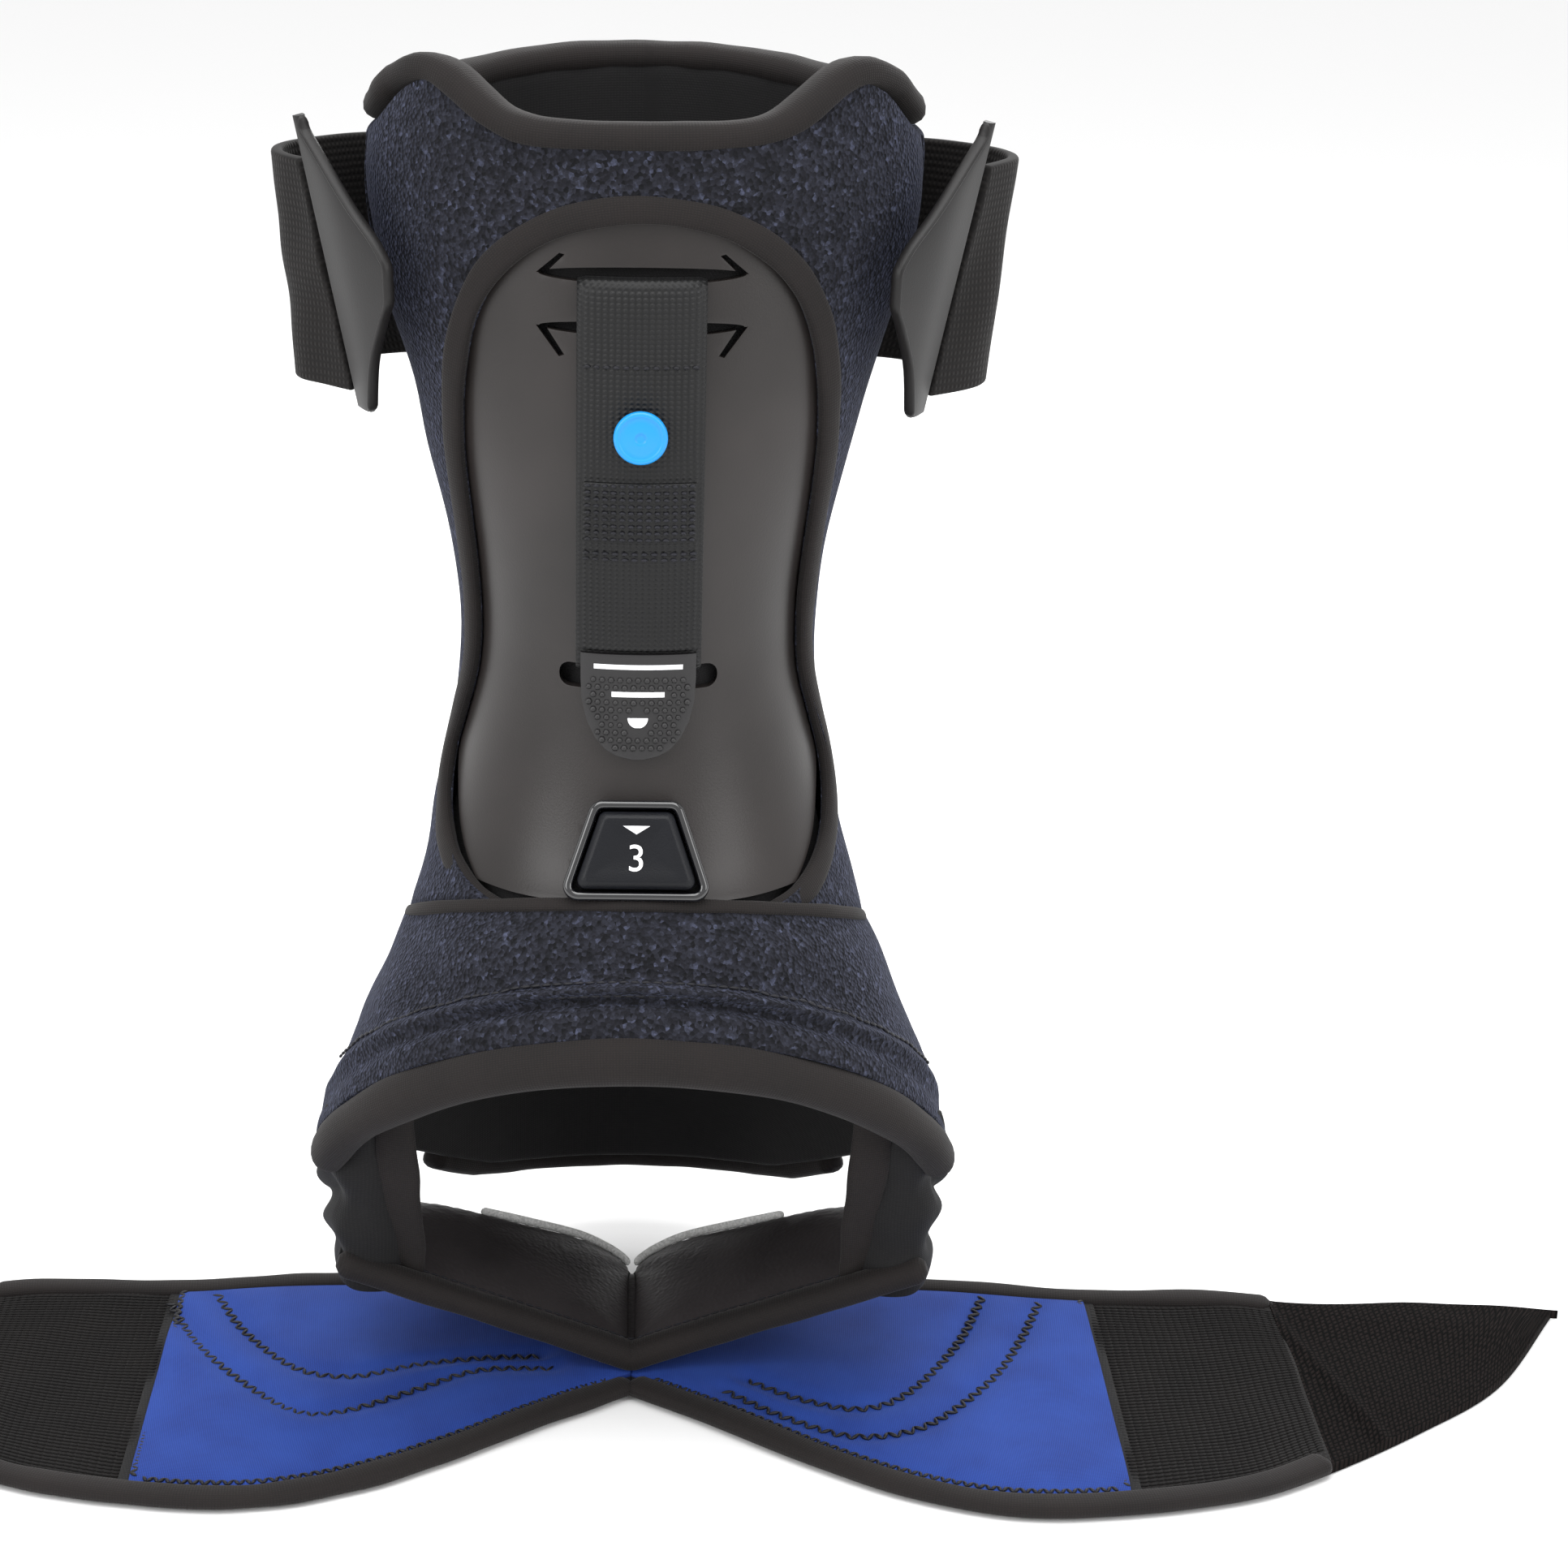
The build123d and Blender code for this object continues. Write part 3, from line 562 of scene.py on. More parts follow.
def stitch_tree():
    """Geometry Nodes: one thread capsule for each edge of the input."""
    tree = bpy.data.node_groups.new("stitches", "GeometryNodeTree")
    face = tree.interface
    face.new_socket("Geometry", in_out="INPUT", socket_type="NodeSocketGeometry")
    for label, kind, value in (("Thread radius", "NodeSocketFloat", 0.0003),
                               ("Length share", "NodeSocketFloat", 0.9),
                               ("Unevenness", "NodeSocketFloat", 0.12),
                               ("Seed", "NodeSocketInt", 3)):
        face.new_socket(label, in_out="INPUT", socket_type=kind).default_value = value
    face.new_socket("Thread", in_out="INPUT", socket_type="NodeSocketMaterial")
    face.new_socket("Geometry", in_out="OUTPUT", socket_type="NodeSocketGeometry")
    given = tree.nodes.new("NodeGroupInput").outputs
    ends = add_node(tree, "GeometryNodeInputMeshEdgeVertices")
    span = add_node(tree, "ShaderNodeVectorMath", {0: ends.outputs["Position 2"],
                                                   1: ends.outputs["Position 1"]},
                    operation="SUBTRACT")
    held = add_node(tree, "GeometryNodeCaptureAttribute", {"Geometry": given["Geometry"]},
                    domain="EDGE")
    held.capture_items.new("VECTOR", "span")
    tree.links.new(span.outputs[0], held.inputs["span"])
    points = add_node(tree, "GeometryNodeMeshToPoints", {"Mesh": held.outputs["Geometry"]},
                      mode="EDGES")
    long = add_node(tree, "ShaderNodeVectorMath", {0: held.outputs["span"]}, operation="LENGTH")
    wobble = add_node(tree, "FunctionNodeRandomValue", {"Seed": given["Seed"], 2: 0.0, 3: 1.0},
                      data_type="FLOAT")
    loss = add_node(tree, "ShaderNodeMath", {0: wobble.outputs[1], 1: given["Unevenness"]},
                    operation="MULTIPLY")
    share = add_node(tree, "ShaderNodeMath", {0: given["Length share"], 1: loss.outputs[0]},
                     operation="SUBTRACT")
    reach = add_node(tree, "ShaderNodeMath", {0: long.outputs["Value"], 1: share.outputs[0]},
                     operation="MULTIPLY")
    size = add_node(tree, "ShaderNodeCombineXYZ", {"X": given["Thread radius"],
                                                   "Y": given["Thread radius"],
                                                   "Z": reach.outputs[0]})
    turned = add_node(tree, "FunctionNodeAlignRotationToVector", {"Vector": held.outputs["span"]},
                      axis="Z")
    rod = add_node(tree, "GeometryNodeMeshCylinder", {"Vertices": 6, "Side Segments": 3,
                                                      "Radius": 1.0, "Depth": 1.0})
    where = add_node(tree, "GeometryNodeInputPosition")
    part = add_node(tree, "ShaderNodeSeparateXYZ", {0: where.outputs[0]})
    far = add_node(tree, "ShaderNodeMath", {0: part.outputs["Z"]}, operation="ABSOLUTE")
    narrow = add_node(tree, "ShaderNodeMapRange", {"Value": far.outputs[0], "From Min": 0.16,
                                                   "From Max": 0.5, "To Min": 1.0,
                                                   "To Max": 0.45})
    waist = add_node(tree, "ShaderNodeCombineXYZ", {"X": narrow.outputs["Result"],
                                                    "Y": narrow.outputs["Result"], "Z": 1.0})
    shaped = add_node(tree, "ShaderNodeVectorMath", {0: where.outputs[0], 1: waist.outputs[0]},
                      operation="MULTIPLY")
    capsule = add_node(tree, "GeometryNodeSetPosition", {"Geometry": rod.outputs["Mesh"],
                                                         "Position": shaped.outputs[0]})
    placed = add_node(tree, "GeometryNodeInstanceOnPoints", {
        "Points": points.outputs["Points"], "Instance": capsule.outputs["Geometry"],
        "Rotation": turned.outputs["Rotation"], "Scale": size.outputs[0]})
    return finish_tree(tree, placed, given["Thread"])


STITCHES = stitch_tree()


def put_stitches(name, sewing, radius, material=THREAD, share=0.92):
    """Thread capsules along seams, each a pair of start and end points, as one plain mesh."""
    mesh = bpy.data.meshes.new(name)
    starts, ends = (np.vstack(points) for points in zip(*sewing))
    count = len(starts)
    mesh.from_pydata((np.vstack([starts, ends]) * MM).tolist(),
                     [(i, i + count) for i in range(count)], [])
    return run_tree(add_object(name, mesh), STITCHES, {
        "Thread radius": radius * MM, "Length share": share, "Thread": material})


def stitch_line(path, pitch):
    """Starts and ends of the stitches of one straight seam along a line."""
    length = np.linalg.norm(np.diff(path, axis=0), axis=1).sum()
    spots = even_steps(path, max(3, int(length / pitch) + 1), smooth=False)
    return spots[:-1], spots[1:]


def zigzag_line(path, out, pitch, wide):
    """Starts and ends of a zigzag seam along a line, across it by wide."""
    length = np.linalg.norm(np.diff(path, axis=0), axis=1).sum()
    both = even_steps(np.hstack([path, out * 100]), max(4, int(length / pitch) + 1), smooth=False)
    spots, up = both[:, :3], both[:, 3:]
    across = np.cross(directions(spots), up)
    across /= np.linalg.norm(across, axis=1, keepdims=True)
    side = np.where(np.arange(len(spots)) % 2 == 0, 0.5, -0.5)[:, None] * wide
    spots = spots + across * side
    return spots[:-1], spots[1:]


print("stitch tree", len(STITCHES.nodes), "nodes")

# %% [markdown]
# The shin shell is one moulded sheet that wraps the front of the leg. Its outline is an arch at the
# top and runs down the silhouette at the sides. A Coons patch fills that outline on the leg rule,
# which gives clean rows for the bevel. The strap slots and the window are then cut with a boolean,
# because they are true holes that have to show their wall thickness.

# %% Moulded shin shell
def mirror_line(half):
    """A line drawn for one side from the middle outwards, completed on the other side."""
    half = np.array(half, float)
    other = half[::-1][:-1] * [-1, 1]
    return np.vstack([other, half])


def phi_at(y, v, inset=0.0):
    """The angle round the leg where it is at a depth y, at each v."""
    fy, fz, by, bz, half, widest, full = np.moveaxis(station(v), -1, 0)
    run = np.hypot(by - fy, bz - fz)
    back = widest * run - (y - fy) / (by - fy) * run
    deep = np.where(back > 0, widest * run - inset, run - widest * run - inset)
    return np.arccos(np.clip(back / deep, -1, 1))


SHELL_OUT, SHELL_IN = 2.4, 5.0
shell_arch = on_front([(0, 306.5), (16, 304.5), (30, 297.5), (38, 288.5)], SHELL_OUT)
shell_side = np.vstack([on_front([(38, 288.5), (43.5, 278), (47, 264), (49, 246)], SHELL_OUT),
                        on_side([(-26, 225), (-26, 202)], 1, SHELL_OUT),
                        on_front([(42.6, 181), (43.8, 170), (44, 160), (42.6, 151),
                                  (38.5, 144)], SHELL_OUT)])
shell_low = on_front([(0, 145.2), (14, 145), (27, 144.4), (38.5, 144)], SHELL_OUT)
ROWS, COLUMNS = 84, 57
right = on_leg(shell_side, ROWS)
shell_grid = fill_between(on_leg(mirror_line(shell_arch), COLUMNS),
                          on_leg(mirror_line(shell_low), COLUMNS), right * [-1, 1], right)
shell = layer("shin_shell", shell_grid, SHELL_OUT, SHELL_IN, SHELL_PP, edge=0)
print("shell", [round(x, 3) for x in shell.dimensions])

# %% [markdown]
# The window has its own plane, square to the shin where it leans forward, and its cutter is the
# same trapezium, a little larger. The other cutters pass straight through the front: two long
# ovals with a slanting cut at each end, and a rounded box where the strap comes out. A rounded
# outline comes from replacing each corner with a small arc.

# %% Slots and window
WINDOW_AT = np.array([0, -66, 157.5])
WINDOW_UP, WINDOW_OUT = np.array([0, 0.406, 0.914]), np.array([0, -0.914, 0.406])
WINDOW = [(-15.3, -9.6), (15.3, -9.6), (8.8, 9.6), (-8.8, 9.6)]
# Each upper slot's height, width, how tall it is, and how far its slanting cuts rise.
UPPER_SLOTS = ((291.3, 47, 3.8, 4.6), (279.5, 46.5, 3.3, -6.8))
LOWER_SLOT = [(-18.6, 193.6), (18.6, 193.6), (18.6, 199.4), (-18.6, 199.4)]
X, Y, Z = np.eye(3)


def round_corners(corners, radius, steps=6):
    """A closed outline with its corners rounded, from (x, y) corners."""
    corners = np.array(corners, float)
    points = []
    for i, here in enumerate(corners):
        before, after = corners[i - 1], corners[(i + 1) % len(corners)]
        a = (before - here) / np.linalg.norm(before - here)
        b = (after - here) / np.linalg.norm(after - here)
        half = math.acos(np.clip(a @ b, -1, 1)) / 2
        reach = radius / math.tan(half)
        centre = here + (a + b) / np.linalg.norm(a + b) * radius / math.sin(half)
        first, last = here + a * reach - centre, here + b * reach - centre
        turn = math.atan2(first[0] * last[1] - first[1] * last[0], first @ last)
        for t in np.linspace(0, turn, steps):
            c, s = math.cos(t), math.sin(t)
            points.append(centre + [c * first[0] - s * first[1], s * first[0] + c * first[1]])
    return np.array(points)


def grown(corners, amount):
    """A convex outline with each side moved outwards."""
    corners = np.array(corners, float)
    lines = []
    for a, b in zip(corners, np.roll(corners, -1, 0)):
        way = (b - a) / np.linalg.norm(b - a)
        lines.append((a + amount * np.array([way[1], -way[0]]), way))
    made = []
    for (p, d), (q, e) in zip([lines[-1], *lines[:-1]], lines):
        t = np.linalg.solve(np.array([d, -e]).T, q - p)[0]
        made.append(p + t * d)
    return np.array(made)


def prism(name, outline, origin, right_way, up_way, out_way, low, high, material):
    """A closed block from a flat outline, between two heights along its plane's normal."""
    flat = origin + outline[:, :1] * right_way + outline[:, 1:] * up_way
    n = len(flat)
    points = np.vstack([flat + out_way * low, flat + out_way * high])
    faces = [tuple(range(n)), tuple(range(n, 2 * n))]
    faces += [(i, (i + 1) % n, (i + 1) % n + n, i + n) for i in range(n)]
    uv = np.vstack([outline, outline + 0.01])
    return new_piece(name, points, faces, material, uv)


def through_front(outline):
    """A cutter that passes straight through the front of the shell, from (x, z) points."""
    return prism("cut", outline, np.zeros(3), X, Z, -Y, 30, 90, SHELL_PP)


def long_oval(z, wide, tall):
    """A slot outline with pointed-round ends, as (x, z) points."""
    a = np.linspace(0, 2 * math.pi, 48, endpoint=False)
    return np.stack([wide / 2 * np.cos(a), z + tall / 2 * np.sin(a)], -1)


def carve(piece, cutters):
    """Cuts closed cutters out of a piece and removes them."""
    for cutter in cutters:
        step = piece.modifiers.new("cut", "BOOLEAN")
        step.operation, step.solver, step.object = "DIFFERENCE", "EXACT", cutter
        settle(piece)
        bpy.data.objects.remove(cutter)
    return piece


def slanting_cut(z, side, rise):
    """The slanting cut at one end of a strap slot, as (x, z) points."""
    outline = np.array([(24.0, z), (18.7, z + rise), (17.5, z + 0.93 * rise), (21.8, z)])
    outline = outline * [side, 1]
    return outline[::-1] if side * rise < 0 else outline


outlines = [long_oval(z, wide, tall) for z, wide, tall, rise in UPPER_SLOTS]
outlines += [slanting_cut(z, side, rise) for z, wide, tall, rise in UPPER_SLOTS
             for side in (1, -1)]
outlines.append(round_corners(LOWER_SLOT, 2.6))
carve(shell, [*map(through_front, outlines),
              prism("cut", round_corners(grown(WINDOW, 1.6), 3), WINDOW_AT, X, WINDOW_UP,
                    WINDOW_OUT, -14, 14, SHELL_PP)])
round_edges(shell, 0.5, 3, 40)
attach(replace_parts(shell, "leg_shell"), "leg")
print("shell faces", len(shell.data.polygons))

# %% [markdown]
# The window frame is a polished ring that clips into the shell, and the angle insert is a wedge
# that slides into it. The frame is a rounded section carried round the trapezium. The insert is a
# stack of the same outline at several heights, drawn in at the top for its broad chamfer and
# dished slightly, as a finger would find it. Its setting is printed as thin raised ink.

# %% Window frame and angle insert
def on_window(outline, height):
    """Points in space of a flat (x, up) outline, a height above the window's plane."""
    return WINDOW_AT + outline[:, :1] * X + outline[:, 1:] * WINDOW_UP + WINDOW_OUT * height


frame_path = on_window(round_corners(grown(WINDOW, 1.15), 2.4, 9), -0.9)
frame_ring = roll("window_frame", frame_path, np.tile(WINDOW_OUT, (len(frame_path), 1)),
                  oval(2.6, 7.4, 16, 3.2), BEZEL_ABS, closed=True)
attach(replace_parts(frame_ring, "insert_bezel"), "leg")


def stacked(name, outlines, material):
    """A closed block from the same outline at several heights; each entry is points in space."""
    n = len(outlines[0])
    faces = [tuple(range(n))]
    for r in range(len(outlines) - 1):
        faces += [(r * n + i, r * n + (i + 1) % n, (r + 1) * n + (i + 1) % n, (r + 1) * n + i)
                  for i in range(n)]
    last = (len(outlines) - 1) * n
    points = np.vstack([*outlines, outlines[-1].mean(0)[None]])
    faces += [(last + i, last + (i + 1) % n, len(points) - 1) for i in range(n)]
    return new_piece(name, points, faces, material, np.zeros((len(points), 2)))


INSERT_LEVELS = ((0.5, -1.2), (0.5, 2.6), (0.7, 3.2), (1.9, 4.2), (2.4, 4.25), (4.5, 3.9),
                 (7.0, 3.75))  # how far the outline is drawn in, and its height
insert = stacked("angle_insert_block", [
    on_window(round_corners(grown(WINDOW, -shrink), max(0.6, 2.2 - shrink * 0.5), 6), height)
    for shrink, height in INSERT_LEVELS], INSERT_PA)
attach(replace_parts(insert, "angle_insert"), "insert")


def lettering(name, words, size, at, height):
    """Flat printed figures on the window plane, as a thin mesh."""
    curve = bpy.data.curves.new(name, "FONT")
    curve.body, curve.size, curve.align_x, curve.align_y = words, size * MM, "CENTER", "CENTER"
    curve.extrude, curve.resolution_u = 0.00008, 6
    text = add_object(name, curve)
    mesh = bpy.data.meshes.new_from_object(text.evaluated_get(
        bpy.context.evaluated_depsgraph_get()))
    bpy.data.objects.remove(text)
    spot = WINDOW_AT + WINDOW_UP * at + WINDOW_OUT * height
    turn = Matrix((X, WINDOW_UP, WINDOW_OUT)).transposed().to_4x4()
    mesh.transform(Matrix.Translation(Vector(spot * MM)) @ turn)
    mesh.materials.append(INK)
    return add_object(name, mesh)


setting = lettering("setting_mark", "3", 9.0, -2.2, 4.0)
triangle = np.array([(-3.2, 5.7), (0, 3.7), (3.2, 5.7)])
pointer = stacked("setting_pointer", [on_window(triangle, height) for height in (3.6, 4.1)], INK)
for mark in (setting, pointer):
    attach(mark, "insert")
print("window", [round(x, 4) for x in frame_ring.dimensions])

# %% [markdown]
# The front cloth is brushed loop fabric, cut away over the shell. Its inner edge is the oval
# opening and its outer edge is the rim and the two side seams, so it is a strip that runs up one
# side, over the top and down the other. Each point of the inner edge is joined to its partner on
# the outer edge. It tucks in under the foot band at its ends, and lies a little unevenly.

# %% Front cloth of the sleeve
OPENING = [(0, 303.7), (14, 301.8), (24, 297.5), (32.5, 290.5), (38, 281.5), (41, 271),
           (42.5, 258), (42.5, 244), (40.5, 222), (39.5, 204), (40.5, 190), (43.8, 177),
           (46.6, 166), (47.2, 156), (45, 148.5), (39.5, 143.5), (31, 141)]


def rim_height(x, behind):
    """Height of the top edge, over the front with its two ears, or over the back."""
    x = np.abs(x)
    front = 325 + 12 * np.exp(-((x - 47.5) / 13) ** 2) - 6 * np.clip(x - 56, 0, None) / 10
    back = 331 - 9.5 * (x / 66) ** 2.4
    return front * (1 - behind) + back * behind


def share_behind(phi):
    """How far round the back an angle is, from 0 over the front to 1 over the back."""
    return np.clip((np.abs(phi) - 1.3) / 0.6, 0, 1)


def at_rim(phi, drop, inset=0.0, eased=True):
    """The v that is a drop below the top edge."""
    behind = share_behind(phi)
    if eased:
        behind = behind * behind * (3 - 2 * behind)
    return cut(phi, lambda p: p[..., 2] - rim_height(p[..., 0], behind) + drop, inset)


def rim_line(count, drop, inset=0.0, low=-math.pi, high=math.pi):
    """(phi, v) of the top edge, a drop below its height."""
    phi = np.linspace(low, high, count)
    return np.stack([phi, at_rim(phi, drop, inset)], -1)


def round_the_back(edge_phi, turn):
    """Angles from edge_phi on the +X side past the back to the other side, at shares turn."""
    phi = edge_phi + (2 * math.pi - 2 * edge_phi) * turn
    return np.where(phi > math.pi, phi - 2 * math.pi, phi)


def seam_line(y, z_top, z_low, count=30):
    """(phi, v) down a side seam at one depth."""
    v = np.linspace(*at_height(np.array([1.4, 1.4]), np.array([z_top, z_low])), count)
    return np.stack([phi_at(y, v), v], -1)


SEAM_Y = -8
opening = on_front(OPENING, 0.0)
ACROSS, STRIP = 18, 150
inner_half = on_leg(opening, STRIP // 2 + 1)
seam = seam_line(SEAM_Y, 318, 112)
rim_half = rim_line(60, 5, 0.0, 0.0, float(seam[0, 0]))
outer_half = on_leg(np.vstack([rim_half[:-1], seam[1:]]), STRIP // 2 + 1, smooth=False)
t = np.linspace(0, 1, ACROSS)[:, None, None]
half = inner_half[None] * (1 - t) + outer_half[None] * t
front_grid = np.concatenate([half[:, ::-1] * [-1, 1], half[:, 1:]], axis=1)
spots = leg(front_grid[..., 0], front_grid[..., 1])
tuck = np.clip((np.interp(spots[..., 1], [-75, -18], [150, 124]) - spots[..., 2]) / 8, 0, 1)
lift = 0.5 * uneven(spots, 34, 5) - 2.6 * tuck
front_sleeve = layer("sleeve_front_cloth", front_grid, 0.0, 2.0, LOOP, lift=lift, edge=0.7)
print("front cloth", len(front_sleeve.data.polygons))

# %% [markdown]
# The back of the sleeve is one panel from the rim to the heel. On the real thing the cloth bends at
# the ankle, and here it is one mesh that runs over it. Its rows run from the rim to the heel edge,
# and its columns run round the back from seam to seam.

# %% Rear cloth of the sleeve, down to the heel
HEEL_LOW = [(-8, 54), (5.4, 42), (20, 33), (32, 28), (45, 24), (80, 22)]
HEEL_BOUND = [(5.4, 40.4), (20, 31), (32, 26), (45, 21.8), (80, 20)]
turn = np.linspace(0, 1, 84)
rows = np.linspace(0, 1, 90)[:, None]
v = np.linspace(0, 8, 90)[:, None]
for _ in range(8):
    phi = round_the_back(phi_at(SEAM_Y + 0.4, v), turn[None])
    v = at_rim(phi[0], 5)[None] * (1 - rows) + at_line(phi[-1], HEEL_LOW)[None] * rows
rear_grid = np.stack([phi, v], -1)
spots = leg(phi, v)
crease = np.exp(-((spots[..., 2] - 128 - 0.1 * spots[..., 1]) / 20) ** 2)
lift = 0.5 * uneven(spots, 38, 8) + 1.1 * crease * uneven(spots * [0.35, 0.35, 1.5], 17, 2)
rear_sleeve = layer("sleeve_rear_cloth", rear_grid, 0.0, 2.2, LOOP, lift=lift, edge=0.7)
print("rear cloth", len(rear_sleeve.data.polygons))

# %% [markdown]
# Inside, a padded lining goes all the way round from the rim to the foot opening. It is a ring of
# cloth-covered foam, quilted by its own softness, and it shows at the top and under the instep.
# The same rule makes it, a few millimetres further in.

# %% Padded lining
LINING_LOW = [(-130, 152), (-92, 118), (-40, 62), (-12, 52), (5, 41), (22, 30.5), (34, 26),
              (46, 22.5), (80, 21)]
phi = np.linspace(-math.pi, math.pi, 97)[:-1]
rows = np.linspace(0, 1, 80)[:, None]
v = (at_rim(phi, 5, 5.2, eased=False) * (1 - rows)
     + at_line(phi, LINING_LOW, 5.2) * rows)
grid = np.stack([np.broadcast_to(phi, v.shape), v], -1)
lift = 0.55 * uneven(leg(grid[..., 0], grid[..., 1]), 30, 21)
lining = layer("padded_lining", grid, 5.6, 8.4, LINER, lift=lift, ring=True, edge=0.9)

# %% [markdown]
# The cloth that crosses the ankle is not bent there: each piece only has its placement baked into
# its points, and none of them is attached to the leg or the foot.


def bend_at_ankle(piece):
    """Bakes a cloth piece's placement into its points."""
    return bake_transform(piece)


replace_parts(front_sleeve, "sleeve_front")
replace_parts(rear_sleeve, "sleeve_rear", "heel_panel")
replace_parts(lining, "leg_liner", "foot_liner")
for piece in (front_sleeve, rear_sleeve, lining):
    bend_at_ankle(piece)
print("lining", len(lining.data.polygons))

# %% [markdown]
# Bindings finish every raw edge of the cloth. A binding is a tape folded over the edge, so it reads
# as a soft, slightly swollen bead. Carrying a rounded section along the edge makes it, with its
# width and thickness uneven by a few percent, as a sewn tape is.

# %% Bindings round the opening and the rim
def bead(name, line, inset, wide, thick, material, closed=False, shift=0.0, seed=1, **more):
    """A tape along a (phi, v) line on the leg, moved sideways by shift millimetres."""
    path = leg(line[:, 0], line[:, 1], inset)
    out = outwards(line, inset)
    if shift:
        across = np.cross(directions(path, closed), out)
        path = path + across * shift
    swell = 1 + 0.05 * uneven(path, 14, seed)
    return roll(name, path, out, oval(wide, thick, 16), material, closed=closed, swell=swell,
                **more)


opening_line = on_leg(mirror_line(opening), 190)
sink = 0.5 + 4.2 * np.abs(np.linspace(-1, 1, 190)) ** 16
trim = bead("opening_binding_tape", opening_line, sink, 6.4, 3.5, BINDING, shift=-2.6, seed=3)
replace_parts(trim, "opening_binding")
bend_at_ankle(trim)
rim = bead("rim_binding_roll", rim_line(170, 3.6, 3.8)[:-1], 3.8, 7.2, 10.6, BINDING,
           closed=True, seed=9)
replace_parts(rim, "rim_binding_front", "rim_binding_rear")
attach(rim, "leg")
print("opening tape", [round(x, 3) for x in trim.dimensions])

# %% [markdown]
# The webbing strap leaves the lower slot, climbs the shell, goes behind the bar between the upper
# slots and comes down over itself. Woven webbing keeps its width and bends only one way, so it is
# a flat section with rounded edges, carried along the path, and it leans a little into the curve
# of the shin. Flat straps are modelled directly, because a simulation would melt them.

# %% Webbing strap
def shell_front(z, off):
    """The middle of the shell's front at a height, moved out by off millimetres."""
    v = at_height(np.zeros_like(z), z, SHELL_OUT)
    return leg(np.zeros_like(z), v, SHELL_OUT - off)


def strap_band(name, path, out, wide, thick, material, curve=0.009, columns=15):
    """A flat strap along a line in the middle plane; curve bends it round the shin."""
    across = np.linspace(-1, 1, columns)
    x = across * wide / 2
    back = (curve * x ** 2)[None, :, None]
    edge = np.sqrt(np.clip(1 - np.abs(across) ** 14, 0.0, 1)) * 0.5 * thick
    middle = path[:, None] + x[None, :, None] * X + back * Y
    outer = middle + out[:, None] * edge[None, :, None]
    inner = middle - out[:, None] * edge[None, :, None]
    return wall(name, outer, inner, material, edge=0.22, segments=2)


strap_route = np.array([(198.2, -3.5), (198.6, -0.6), (200.5, 0.75), (206, 0.85), (240, 0.85),
                        (270, 0.85), (276.5, 0.7), (279.2, -1.5), (280.6, -4.4), (285, -4.9),
                        (288.8, -4.4), (290.2, -1.3), (290.3, 1.7), (288.8, 2.95), (285, 3.2),
                        (279, 2.7), (272, 2.35), (240, 2.3), (215, 2.3), (204.2, 2.3)])
flat_route = np.stack([strap_route[:, 1], strap_route[:, 0]], -1)
smooth_route = even_steps(flat_route, 220)
path = shell_front(smooth_route[:, 1], smooth_route[:, 0])
ahead = directions(path)
out = np.cross(np.tile(X, (len(path), 1)), ahead)
out *= np.sign((out * [[0, 1, 0]]).sum(1).mean()) * -1
strap = strap_band("shin_strap", path, out, 29.6, 1.25, WEBBING)
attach(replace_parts(strap, "shell_strap"), "leg")

patch_route = shell_front(np.linspace(245, 231, 16), 3.25)
patch = strap_band("strap_stitch_patch", patch_route, np.tile([0, -1.0, 0.02], (16, 1)), 27, 0.5,
                   WEBBING)
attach(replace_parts(patch, "stitch_patch"), "leg")


def on_strap(x, z, off):
    """A point on the strap's face, x across and z up, moved out by off."""
    x, z = np.broadcast_arrays(np.asarray(x, float), np.asarray(z, float))
    return shell_front(z.ravel(), off) + x.ravel()[:, None] * X \
        + (0.009 * x.ravel() ** 2)[:, None] * Y


sewing = []
for z in np.linspace(244.4, 231.6, 9):
    spots = even_steps([(-13, z), (13, z)], 400, smooth=False)
    sewing.append(stitch_line(on_strap(spots[:, 0], spots[:, 1], 3.62), 1.9))
for z in (228, 226.6, 271.5):
    sewing.append(stitch_line(on_strap(np.linspace(-13.5, 13.5, 60), z, 3.05), 2.2))
sewn = put_stitches("strap_box_stitches", sewing, 0.42, share=0.74)
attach(sewn, "leg")
print("strap", [round(x, 3) for x in strap.dimensions], "seams", len(sewing))

# %% [markdown]
# The blue snap is a moulded cap with a low dome, a rolled rim and a small pin mark in the middle.
# It is a turned shape, so its profile is carried round an axis and closed at the pole.

# %% Blue snap disc
def turned(name, profile, origin, right_way, up_way, out_way, material, count=48):
    """A turned shape from (radius, height) points, closed at its first and last point."""
    points, faces = [origin + out_way * profile[0][1]], []
    for radius, height in profile[1:-1]:
        a = np.arange(count) * 2 * math.pi / count
        points += list(origin + radius * (np.cos(a)[:, None] * right_way
                                          + np.sin(a)[:, None] * up_way) + out_way * height)
    points.append(origin + out_way * profile[-1][1])
    rings, end = len(profile) - 2, len(points) - 1
    for i in range(count):
        j = (i + 1) % count
        last = 1 + (rings - 1) * count
        faces += [(0, 1 + j, 1 + i), (last + i, last + j, end)]
        faces += [(1 + r * count + i, 1 + r * count + j, 1 + (r + 1) * count + j,
                   1 + (r + 1) * count + i) for r in range(rings - 1)]
    return new_piece(name, points, faces, material, np.zeros((len(points), 2)))


